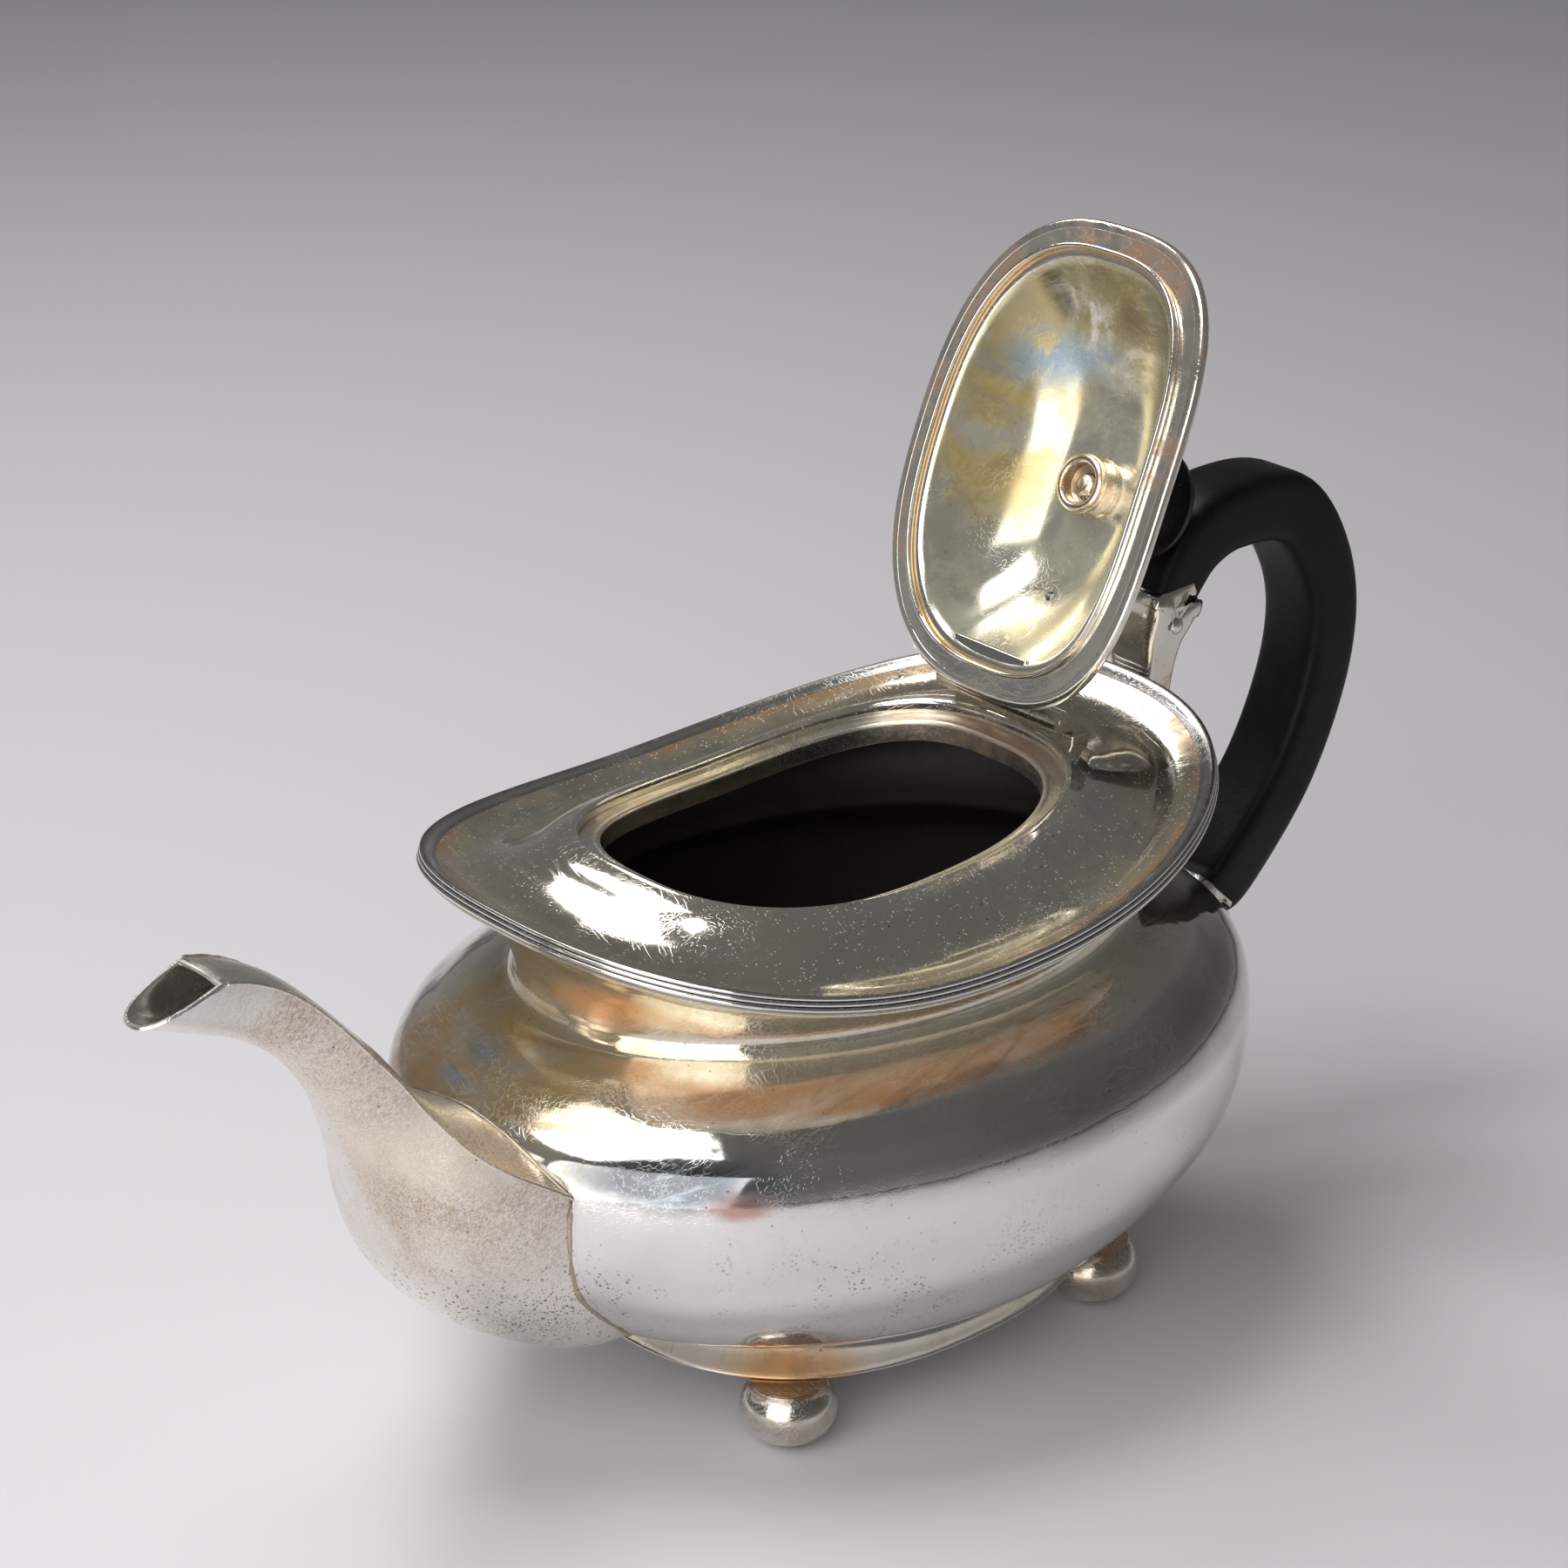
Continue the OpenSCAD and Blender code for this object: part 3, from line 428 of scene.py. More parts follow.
def body_tarnish_and_painted_shade(f):
    """Tarnish outside the body, with painted dark reflections on its near side, and inside it dark brown staining
    deepened to near black as painted shade.
    """
    seam = f.layer("seam")
    cloud = f.noise(30.0, 6.0, 0.62, 0.7, (0.5, 0.5, 2.2))
    mottle = f.noise(85.0, 6.0, 0.7, 0.4)
    brushed = f.noise(60.0, 6.0, 0.68, 0.5, (0.25, 0.25, 3.2), (0, 8, 0))
    fine = f.noise(700.0, 3.0, 0.6, 0.2, (0.12, 0.12, 1.0), (6, 12, 0))
    near_side = f.y.step(-12.0, -26.0)
    along = f.x.step(-62.0, -46.0) * f.x.step(34.0, 14.0) * near_side
    ripple = f.z + (brushed - 0.5) * 3.0
    band = ripple.step(70.0, 71.4) * ripple.step(75.2, 73.6) * along
    pale = ripple.step(74.4, 75.8) * ripple.step(79.0, 77.4) * along
    drab = ripple.step(64.4, 67.6) * ripple.step(70.8, 69.6) * near_side
    shoulder = f.near((-62, 8, 71), (30, 46, 26), 0.6, 40.0)
    far = f.near((-66, 26, 62), (22, 20, 20), 0.7, 50.0)
    slate = f.near((-62, 8, 68), (12, 11, 7), 0.9, 90.0)
    # Painted dark reflection: a dark slate patch at the front of the near side, with paler streaks over it
    painted_dark_reflection = f.near((-60, -36, 63.5), (30, 24, 5.5), 0.7, 70.0)
    ember = f.near((-56, -14, 84), (12, 15, 7), 0.6, 80.0)
    rust = f.near((-52.6, -46, 60.4), (8, 7, 3.4), 0.9, 110.0)
    low = f.z.step(52.0, 30.0)
    # Painted dark reflection: a darker grey band across the near shoulder, towards the handle end
    painted_dark_band = ripple.step(56.0, 60.0) * ripple.step(71.0, 66.0) * f.x.step(-30.0, 10.0) * near_side
    clump = f.noise(52.0, 5.0, 0.7, 0.6).step(0.47, 0.56)
    pits = f.specks(1150.0, 0.42, (0.4, 0.48)) * f.z.step(58.0, 42.0) * f.x.step(24.0, -40.0) * clump
    grit = f.specks(2100.0, 0.45, (0.4, 0.5)) * low * f.x.step(10.0, -50.0) * clump
    line = seam.step(1.1, 0.2)
    # Inside: tea stain deepened to near black as painted shade
    tea_and_painted_shade = f.layer("inside") * (0.97 + 0.03 * f.noise(30.0, 6.0, 0.65, 0.5))
    return [(f.z.step(66.0, 76.0) * (0.35 + 0.45 * mottle.step(0.35, 0.65)), (0.62, 0.53, 0.34), 0.03, 0.15),
            (shoulder * (0.5 + 0.45 * mottle.step(0.3, 0.6)), (0.4, 0.3, 0.14), 0.06, 0.35),
            (shoulder * brushed.step(0.5, 0.6) * 0.75, (0.22, 0.13, 0.05), 0.08, 0.35),
            (far * mottle.step(0.3, 0.6) * 0.8, (0.2, 0.13, 0.08), 0.1, 0.3),
            (slate * brushed.step(0.4, 0.52) * 0.9, (0.15, 0.18, 0.21), 0.06, 0.2),
            (pale * (0.4 + 0.4 * brushed.step(0.4, 0.6)), (0.66, 0.6, 0.44), 0.04, 0.2),
            (band * (0.55 + 0.4 * brushed.step(0.35, 0.6)), (0.5, 0.27, 0.13), 0.05, 0.4),
            (band * fine.step(0.5, 0.7) * 0.5, (0.3, 0.16, 0.09), 0.05),
            (drab * (0.35 + 0.4 * mottle), (0.36, 0.35, 0.28), 0.03, 0.1),
            # Painted dark reflection band
            (painted_dark_band * (0.45 + 0.3 * mottle), (0.33, 0.32, 0.29), 0.0),
            (ember * 0.85, (0.7, 0.33, 0.12), 0.05, 0.5), (rust * 0.75, (0.42, 0.17, 0.12), 0.05, 0.45),
            # Painted dark reflection patch, then paler streaks over it
            (painted_dark_reflection * 0.9, (0.085, 0.1, 0.12), 0.04, 0.1),
            (painted_dark_reflection * fine.step(0.52, 0.66) * 0.6, (0.42, 0.47, 0.52), 0.1, 0.1),
            (low * mottle.step(0.42, 0.62) * 0.3, (0.7, 0.64, 0.63), 0.08, 0.2),
            (f.z.step(30.0, 18.0) * cloud.step(0.35, 0.65) * 0.3, STRAW, 0.05),
            (pits * 0.85, SOOT, 0.3), (grit * 0.5, BROWN, 0.2), (line * 0.85, BROWN, 0.25),
            # Tea stain deepened to near black inside: painted shade
            (tea_and_painted_shade, (0.01, 0.005, 0.0025), 0.5, 0.95)]


def spout_tarnish_and_painted_shade(f):
    seam = f.layer("seam")
    # How far into the bore a point lies; the bore is painted near black deeper in, as painted shade
    deep = f.layer("inside")
    hair = f.noise(2600.0, 4.0, 0.75, 1.2, (0.35, 1.0, 0.8), (0, 40, 0)).step(0.45, 0.58)
    cloud = f.noise(55.0, 7.0, 0.68, 0.6)
    warm = f.noise(24.0, 6.0, 0.62, 0.4).step(0.3, 0.6)
    side = f.y.step(4.0, -14.0)
    middle = f.x.step(-132.0, -112.0) * f.z.step(38.0, 66.0)
    top = f.near((-86, -14, 72), (22, 26, 12), 0.7, 60.0)
    tip = f.x.step(-108.0, -126.0)
    dirt = f.near((-97, -20, 58), (14, 22, 22), 0.9, 60.0)
    stream = f.near((-80, -26, 36), (26, 22, 12), 0.9, 90.0)
    pits = f.specks(900.0, 0.36, (0.44, 0.52)) * f.z.step(54.0, 40.0)
    grit = f.specks(1700.0, 0.42, (0.4, 0.5)) * f.z.step(60.0, 36.0)
    line = seam.step(0.9, 0.15)
    return [(warm * middle * (0.35 + 0.5 * hair), (0.62, 0.5, 0.38), 0.1, 0.35),
            (warm * middle * hair * cloud.step(0.35, 0.55) * 0.8, (0.33, 0.23, 0.15), 0.08, 0.3),
            (top * (0.3 + 0.4 * hair), (0.88, 0.78, 0.64), 0.06, 0.3),
            (dirt * cloud.step(0.4, 0.6) * (0.25 + 0.45 * hair), (0.42, 0.31, 0.21), 0.12, 0.3),
            (tip * side * 0.35, (0.52, 0.56, 0.6), -0.08), (stream * grit * 0.9, (0.16, 0.11, 0.08), 0.3),
            (pits * 0.8, SOOT, 0.3), (grit * 0.35, (0.32, 0.24, 0.18), 0.2),
            # Last layer: painted shade, near black deeper in the bore
            (line * 0.85, BROWN, 0.25), (deep.step(0.35, 0.5), (0.012, 0.008, 0.006), 0.5, 0.95)]


def cover_tarnish(f):
    edge = f.layer("edge")
    cloud = f.noise(46.0, 6.0, 0.65, 0.6)
    mottle = f.noise(120.0, 6.0, 0.7, 0.4)
    sweep = f.noise(34.0, 5.0, 0.6, 0.8, (1.0, 0.3, 1.0), (0, 0, 38))
    dust = f.specks(1300.0, 0.34, (0.5, 0.58))
    right_side = f.x.step(0.0, 40.0)
    return [(1.0 - 0.6 * edge, (0.66, 0.61, 0.5), 0.02, 0.06),
            (sweep.step(0.42, 0.6) * 0.35, (0.52, 0.47, 0.36), 0.05, 0.12),
            (right_side * mottle.step(0.4, 0.62) * 0.45, (0.46, 0.36, 0.22), 0.06, 0.2),
            (edge.step(0.45, 0.05) * cloud.step(0.42, 0.62) * 0.6, (0.46, 0.36, 0.2), 0.08, 0.3),
            (edge.step(0.2, 0.0) * cloud.step(0.34, 0.6) * 0.8, (0.3, 0.16, 0.07), 0.14, 0.35),
            (edge.step(0.82, 1.0) * cloud.step(0.35, 0.7) * 0.35, (0.62, 0.54, 0.38), 0.05, 0.2),
            (dust * 0.55, (0.8, 0.78, 0.74), 0.3, 0.6)]


def rim_tarnish(f):
    groove = f.layer("groove")
    return [(groove * 0.92, SOOT, 0.3), (f.noise(50.0, 5.0, 0.6).step(0.5, 0.75) * 0.25, STRAW, 0.05)]


def seat_tarnish(f):
    cloud = f.noise(55.0, 6.0, 0.66, 0.5)
    by_hinge = f.near((44, 0, 96), (34, 30, 14), 0.6, 60.0)
    down = f.z.step(95.0, 91.5)
    return [(cloud.step(0.28, 0.66) * 0.7, STRAW, 0.12), (by_hinge * 0.6, ROSE, 0.15),
            (cloud.step(0.55, 0.75) * 0.5, AMBER, 0.15), (down * 0.6, BROWN, 0.25)]


def collar_tarnish(f):
    heat = f.near((-33, -34, 13), (20, 16, 10), 0.8, 60.0)
    blue = f.near((-33, -41, 14), (11, 10, 7), 0.8, 90.0)
    cloud = f.noise(50.0, 6.0, 0.65)
    return [(cloud.step(0.4, 0.7) * 0.45, STRAW, 0.1), (heat * 0.85, (0.72, 0.42, 0.16), 0.05, 0.3),
            (blue * 0.95, (0.13, 0.27, 0.4), 0.02, 0.3), (cloud.step(0.58, 0.78) * 0.5, BROWN, 0.2)]


def foot_tarnish(f):
    joint = f.z.step(10.0, 12.4)
    cloud = f.noise(120.0, 5.0, 0.65)
    return [(0.4 + 0.4 * cloud.step(0.4, 0.6), (0.5, 0.44, 0.37), 0.04), (joint * 0.8, BROWN, 0.2),
            (cloud.step(0.5, 0.75) * 0.5, AMBER, 0.12), (f.z.step(1.6, 0.2) * 0.6, BROWN, 0.3)]


def lid_tarnish(f):
    """Clouds of tarnished colour inside the lid, placed by how far out and how high they are on the open lid."""
    out = f.layer("out")
    inside = f.layer("inside")
    cloud = f.noise(38.0, 7.0, 0.68, 0.8)
    mottle = f.noise(110.0, 6.0, 0.7, 0.5)
    bowl = inside * out.step(0.74, 0.7)
    high = f.z.step(146.0, 168.0)
    low = f.z.step(134.0, 118.0)
    yellow = f.near((66, 17, 150), (30, 12, 26), 0.6, 50.0)
    slate = f.near((71, 8, 163), (12, 18, 9), 0.9, 90.0)
    patch = f.near((73, -3, 172), (9, 8, 7), 0.9, 120.0)
    olive = f.near((72, -14, 168), (14, 10, 22), 0.8, 80.0)
    groove = inside * out.step(0.73, 0.76) * out.step(0.86, 0.8)
    rim = inside * out.step(0.84, 0.9)
    rusty = f.near((52, -26, 128), (20, 14, 26), 0.7, 70.0)
    return [(bowl * (0.45 + 0.35 * mottle.step(0.4, 0.6)), (0.66, 0.63, 0.48), 0.1, 0.4),
            (bowl * high * cloud.step(0.42, 0.56), (0.4, 0.35, 0.2), 0.06, 0.1),
            (bowl * yellow * cloud.step(0.4, 0.56), (0.68, 0.54, 0.24), 0.06, 0.1),
            (bowl * olive * mottle.step(0.4, 0.56), (0.26, 0.21, 0.11), 0.1, 0.1),
            (bowl * slate * mottle.step(0.38, 0.54), (0.27, 0.36, 0.43), 0.06, 0.1),
            (bowl * patch * 0.9, (0.17, 0.11, 0.07), 0.12, 0.1),
            (bowl * low * cloud.step(0.44, 0.6) * 0.8, (0.42, 0.38, 0.26), 0.08, 0.1),
            (groove * (0.65 + 0.35 * mottle), (0.6, 0.36, 0.11), 0.14, 0.5),
            (groove * rusty * 0.95, (0.24, 0.08, 0.04), 0.2, 0.3),
            (rim * 0.5, (0.8, 0.72, 0.62), 0.05, 0.2),
            (rim * cloud.step(0.46, 0.56) * mottle.step(0.4, 0.55) * 0.85, (0.52, 0.32, 0.2), 0.12, 0.3)]


def clouded(noise, *layers):
    """Tarnish from one cloud: each layer is its low and high step, strength, colour and added roughness."""
    def colour_layers(f):
        cloud = f.noise(*noise)
        return [(cloud.step(low, high) * much, colour, dull) for low, high, much, colour, dull in layers]
    return colour_layers


worn_tarnish = clouded((90.0, 6.0, 0.66, 0.5), (0.4, 0.7, 0.5, STRAW, 0.1), (0.55, 0.75, 0.6, BROWN, 0.2))
bore_tarnish = clouded((160.0, 5.0, 0.65), (0.3, 0.65, 0.6, AMBER, 0.12), (0.5, 0.75, 0.7, BROWN, 0.25))
bottom_tarnish = clouded((40.0, 6.0, 0.68, 0.6), (0.3, 0.7, 0.8, (0.5, 0.44, 0.32), 0.25),
                         (0.55, 0.8, 0.6, BROWN, 0.2))


def ebony(name, sheen=0.34, brown=(0.004, 0.0036, 0.0034)):
    """Turned or carved ebony, waxed, with a long faint grain and small dents."""
    f = Finish(name, Specular_IOR_Level=0.22)
    grain = f.noise(220.0, 5.0, 0.6, 0.3, (1.0, 1.0, 0.12), (0, 25, 0))
    pores = f.noise(900.0, 2.0, 0.5, 0.0, (1.0, 1.0, 0.08), (0, 25, 0)).step(0.66, 0.74)
    worn = f.noise(24.0, 4.0, 0.6)
    scratch = f.hairlines(((0, 0, 25), (60, 0, 10)), 700.0, 0.03)
    tone = f.mix(grain.step(0.35, 0.7), brown, tuple(c * 1.9 for c in brown))
    tone = f.mix(worn.step(0.5, 0.8) * 0.4, tone, (0.014, 0.012, 0.01))
    tone = f.mix(pores * 0.7, tone, (0.005, 0.004, 0.003))
    f.set("Base Color", tone)
    f.set("Roughness", (sheen + 0.16 * worn.step(0.3, 0.75) + 0.12 * grain - 0.05 * scratch).clip())
    dents = f.bump(f.noise(60.0, 3.0, 0.5), 0.0006, 0.3)
    f.bump(grain * 0.5 - pores - scratch * 0.5, 0.00008, 0.5, dents)
    return f.material


BODY = silver("body_silver", polish=0.03, haze=0.06, wavy=1.5, colour_layers=body_tarnish_and_painted_shade)
RIM = silver("rim_silver", polish=0.08, haze=0.08, wavy=0.3, colour_layers=rim_tarnish)
COVER = silver("cover_silver", polish=0.05, haze=0.08, wavy=0.9, pitted=0.8, colour_layers=cover_tarnish)
SEAT = silver("seat_silver", polish=0.2, haze=0.2, wavy=0.6, colour_layers=seat_tarnish)
SPOUT = silver("spout_silver", (0.84, 0.81, 0.77), polish=0.17, haze=0.16, wavy=0.8, pitted=0.8,
               colour_layers=spout_tarnish_and_painted_shade, lines=((0, 0, 0), (0, 30, 90), (0, -25, 60)))
COLLAR = silver("collar_silver", polish=0.12, haze=0.16, colour_layers=collar_tarnish)
BOTTOM = silver("bottom_silver", polish=0.4, haze=0.25, colour_layers=bottom_tarnish)
FOOT = silver("foot_silver", polish=0.1, haze=0.16, scratched=1.6, wavy=0.5, colour_layers=foot_tarnish)
SOCKET = silver("socket_silver", (0.72, 0.7, 0.66), polish=0.12, haze=0.16, wavy=0.6, colour_layers=worn_tarnish)
LID = silver("lid_silver", (0.86, 0.84, 0.77), polish=0.07, haze=0.08, wavy=0.8, colour_layers=lid_tarnish)
HINGE = silver("hinge_silver", (0.78, 0.75, 0.68), polish=0.22, haze=0.2, wavy=0.3, colour_layers=worn_tarnish)
PIN = silver("pin_silver", polish=0.2, haze=0.15, wavy=0.2, colour_layers=worn_tarnish)
FINIAL_BASE = silver("finial_silver", polish=0.15, haze=0.15, wavy=0.3, colour_layers=worn_tarnish)
NUT = silver("nut_silver", (0.82, 0.78, 0.68), polish=0.17, haze=0.15, wavy=0.3, colour_layers=bore_tarnish)
STUD = silver("stud_silver", (0.8, 0.74, 0.6), polish=0.25, haze=0.15, wavy=0.2, colour_layers=bore_tarnish)
SOLDER = silver("solder", (0.42, 0.36, 0.29), polish=0.3, haze=0.2, wavy=0.3, pitted=0.6, colour_layers=worn_tarnish)
HANDLE = ebony("handle_ebony")
BUTTON = ebony("finial_ebony", 0.22)

# ---------------- body

SHOULDER_H = NECK_H - BELLY_H
belly_profile = curve([
    (BOTTOM_H, BOTTOM_INSET), (BOTTOM_H + 2.5, BOTTOM_INSET - 8.5), (BOTTOM_H + 7, BOTTOM_INSET - 17.5),
    (BOTTOM_H + 15, BOTTOM_INSET - 27.5), (BELLY_H - 11, 2.6), (BELLY_H, 0), (BELLY_H + 0.41 * SHOULDER_H, 1.6),
    (BELLY_H + 0.63 * SHOULDER_H, 8.5), (BELLY_H + 0.78 * SHOULDER_H, 15.9), (NECK_H - 3, NECK_INSET - 1.5),
    (NECK_H, NECK_INSET)], 8)


def belly_rings(depth):
    """Rings of the belly, a depth into the metal."""
    along = unit(np.gradient(belly_profile, axis=0))
    rings = []
    for k, ((z, inset), (dz, di)) in enumerate(zip(belly_profile, along)):
        share = SHOULDER_SHARE if z > BELLY_H else WIDTH_SHARE
        rings.append(lift(belly_plan(inset + depth * dz, share), z - (0 if k == 0 else depth * di)))
    return rings


def flare_rings(depth, steps=20):
    """Rings of the quarter round that opens from the neck to the rim."""
    neck = lift(belly_plan(NECK_INSET + depth, SHOULDER_SHARE), NECK_H)
    edge = lift(rim_plan(BODY_EDGE), RIM_H - REED_H / 2 - WALL + depth)
    rings = []
    for k in range(1, steps + 1):
        q, v = 1 - math.cos(math.pi / 2 * k / steps), math.sin(math.pi / 2 * k / steps)
        ring = neck + (edge - neck) * np.array([q, q, v])
        ring[:, 2] = neck[:, 2] * (1 - v) + (edge[:, 2] + SHEER * ring[:, 0] ** 2) * v
        rings.append(ring)
    return rings


def depth_in_belly(points):
    """Roughly how far points are inside the belly's outer face, in mm; below 0 outside."""
    z = points[..., 2]
    inset = np.interp(z, belly_profile[:, 0], belly_profile[:, 1])
    a = BELLY_L / 2 - inset
    b = BELLY_W / 2 - np.where(z > BELLY_H, SHOULDER_SHARE, WIDTH_SHARE) * inset
    f = ((np.abs(points[..., 0] - BELLY_X) / a) ** BELLY_N + (np.abs(points[..., 1]) / b) ** BELLY_N) ** (1 / BELLY_N)
    return np.where(z < BOTTOM_H, -5.0, (1 - f) * np.minimum(a, b))


def cut_at_belly(rings, depth=0.45, rows=90, ease=1.6):
    """Rings whose lines run from outside into the belly are cut off a little inside its face.
    Returns new rings and how far each point is from the cut."""
    rings = np.asarray(rings, float)
    fine = np.linspace(0, len(rings) - 1, (len(rings) - 1) * 12 + 1)
    low = np.minimum(fine.astype(int), len(rings) - 2)
    dense = rings[low] + (rings[low + 1] - rings[low]) * (fine - low)[:, None, None]
    inside = depth_in_belly(dense) > depth
    out = np.empty((rows, rings.shape[1], 3))
    left = np.empty((rows, rings.shape[1]))
    for j in range(rings.shape[1]):
        hits = np.nonzero(inside[:, j])[0]
        last = hits[0] if len(hits) else len(dense) - 1
        line = dense[:max(last, 1) + 1, j]
        run = np.concatenate([[0], np.cumsum(np.linalg.norm(np.diff(line, axis=0), axis=1))])
        at = (1 - (1 - np.linspace(0, 1, rows)) ** ease) * run[-1]
        out[:, j] = np.column_stack([np.interp(at, run, line[:, k]) for k in range(3)])
        left[:, j] = run[-1] - at
    return out, left


# Along the spout: x and z of its upper edges, x and z of its keel, half-width, crown of its top
spout_path = curve([
    (14.0, 0, 0, 5, MOUTH_HALF, 0.4), (18.5, 1.3, 9, 8.9, MOUTH_HALF + 0.2, 0.6),
    (23, 3.5, 17, 12.3, MOUTH_HALF + 0.6, 0.9), (27, 6.3, 23.4, 16.5, MOUTH_HALF + 1.1, 1.1),
    (31, 10.2, 29, 22.2, MOUTH_HALF + 1.7, 1.4), (35, 14.9, 33.3, 28.3, MOUTH_HALF + 2.5, 1.9),
    (39, 20.2, 36.4, 35, MOUTH_HALF + 3.7, 2.5), (42.8, 25.4, 38.9, 42.5, MOUTH_HALF + 5.3, 3.1),
    (46.7, 31.9, 41.2, 50.7, ROOT_HALF - 11.5, 3.8), (51.3, 38.2, 43.5, 59.7, ROOT_HALF - 7.5, 4.4),
    (56.5, 42.9, 47.2, 68.5, ROOT_HALF - 4.2, 4.9), (63, 47.2, 54, 76.5, ROOT_HALF - 1.7, 5.1),
    (69.5, 51.5, 64.5, 84, ROOT_HALF, 5), (77, 56, 76.5, 90, ROOT_HALF + 1, 4),
    (85, 60, 88, 90.6, ROOT_HALF + 1.5, 3)], 5)


def spout_ring(s, thin):
    """One ring of the spout: a deep trough with a crowned top, thinner by a wall."""
    top = np.array([SPOUT_X + s[0], SPOUT_H - s[1]])
    keel = np.array([SPOUT_X + s[2], SPOUT_H - s[3]])
    up = unit(top - keel)
    a, b, w = top - up * thin, keel + up * thin, s[4] - thin
    t = np.linspace(0, np.pi, 61)
    y = -w * boxy(np.cos(t), 0.8)
    p = a + (b - a) * (np.sin(t) ** 0.8)[:, None]
    trough = np.column_stack([p[:, 0], y, p[:, 1]])
    y = w * (1 - 2 * np.arange(1, 24) / 24)
    p = a + up * (s[5] * (1 - (y / w) ** 2))[:, None]
    return np.concatenate([trough, np.column_stack([p[:, 0], y, p[:, 1]])])


outer, outer_left = cut_at_belly([spout_ring(s, 0) for s in spout_path])
lip = 0.35
inner, inner_left = cut_at_belly([spout_ring(s, 1.0) for s in spout_path], 0.3, 60)
mouth_normal = unit(np.cross(outer[0, 30] - outer[0, 72], outer[0, 0] - outer[0, 60]))
if mouth_normal[0] > 0:
    mouth_normal = -mouth_normal
# The lip is rounded over: two rings between the outer and the inner skin, a little back from the mouth
over_lip = [outer[0] * 0.75 + inner[0] * 0.25, outer[0] * 0.25 + inner[0] * 0.75]
outer[0] -= mouth_normal * lip
inner[0] -= mouth_normal * lip
spout_rings = np.concatenate([outer[::-1], over_lip, inner])
spout_left = np.concatenate([outer_left[::-1], [outer_left[0]] * 2, inner_left])
spout_inside = np.concatenate([np.zeros(len(outer) * outer.shape[1] + 2 * outer.shape[1]),
                               np.repeat(np.linspace(0.3, 1, len(inner)), inner.shape[1])])
lofted("spout", spout_rings, "pot", SPOUT, join=True, sharp=34,
       layers={"seam": spout_left.ravel(), "inside": spout_inside})

# The top plate's folded edges and the solder where the spout meets the body
top_edges = np.array([spout_ring(s, 0) for s in spout_path])
for side_name, column in (("left", 0), ("right", 60)):
    edge = cut_at_belly(top_edges[:, [column]], 0.2, 110, 1.0)[0][1:, 0]
    radius = 0.42 + 0.06 * np.sin(np.arange(len(edge)) * 1.7) * np.sin(np.arange(len(edge)) * 0.53)
    tube("spout_edge_" + side_name, edge - np.array([0, 0, 0.12]), radius, SPOUT,
         layers={"seam": np.full(len(edge) * BEAD_SIDES, 5.0), "inside": np.zeros(len(edge) * BEAD_SIDES)})
joint = cut_at_belly(top_edges, 0.0, 30)[0][-1]
joint = joint[np.linalg.norm(joint - np.roll(joint, 1, axis=0), axis=1) > 0.25]
wobble = np.arange(len(joint))
radius = 0.45 + 0.12 * np.sin(wobble * 0.9) + 0.08 * np.sin(wobble * 2.3)
tube("spout_solder", joint, radius, SOLDER, closed=True)

body_outer = belly_rings(0) + flare_rings(0)
body_inner = belly_rings(WALL) + flare_rings(WALL)
body_rings = np.array(body_outer + body_inner[::-1])
points = body_rings.reshape(-1, 3)
# How far each point is from the seam between spout and body, up to 30 mm
near_spout = np.full(len(points), 30.0)
close = (points[:, 0] < -30) & (points[:, 2] < 80)
along = np.roll(outer[-1], -1, axis=0) - outer[-1]
away = points[close][:, None] - outer[-1]
t = np.clip((away * along).sum(2) / np.maximum((along ** 2).sum(1), 1e-9), 0, 1)
near_spout[close] = np.linalg.norm(away - t[..., None] * along, axis=2).min(1)
inside = np.repeat(np.concatenate([np.zeros(len(body_outer)), np.ones(len(body_inner))]), body_rings.shape[1])
body = lofted("body", body_rings, "pot", BODY, stands_for=("body_shell",), join=True,
              layers={"seam": near_spout, "inside": inside})


def drilled(obj, holes):
    """Drills round holes: each is a place, a direction, a length and a diameter, in mm."""
    verts, faces = [], []
    for place, direction, length, width in holes:
        d = unit(np.array(direction, float))
        side = unit(np.cross(d, (0, 1, 0)))
        other = np.cross(d, side)
        faces += [[len(verts) + k for k in face] for face in ring_faces(2, HOLE_SIDES)]
        for end in (0, length):
            for t in around(HOLE_SIDES):
                round_by = (side * math.cos(t) + other * math.sin(t)) * width / 2
                verts.append(np.array(place) + d * end + round_by)
    mesh = faced("drill", verts, faces, {})
    drill = linked("drill", mesh)
    cut = obj.modifiers.new("holes", "BOOLEAN")
    cut.operation, cut.solver, cut.object = "DIFFERENCE", "EXACT", drill
    graph = bpy.context.evaluated_depsgraph_get()
    done = bpy.data.meshes.new_from_object(obj.evaluated_get(graph), preserve_all_data_layers=True, depsgraph=graph)
    obj.modifiers.clear()
    old = obj.data
    obj.data = done
    bpy.data.objects.remove(drill)
    bpy.data.meshes.remove(mesh)
    bpy.data.meshes.remove(old)


STRAINER_D, STRAINER_PITCH = 3.0, 5.6
STRAINER_ROWS = ((26, 3), (31, 4), (36, 5), (41, 4), (46, 3))
drilled(body, [((-BELLY_L / 2, (k - (n - 1) / 2) * STRAINER_PITCH, z), (1, 0, 0), 40, STRAINER_D)
               for z, n in STRAINER_ROWS for k in range(n)])

# ---------------- rim, cover and seat

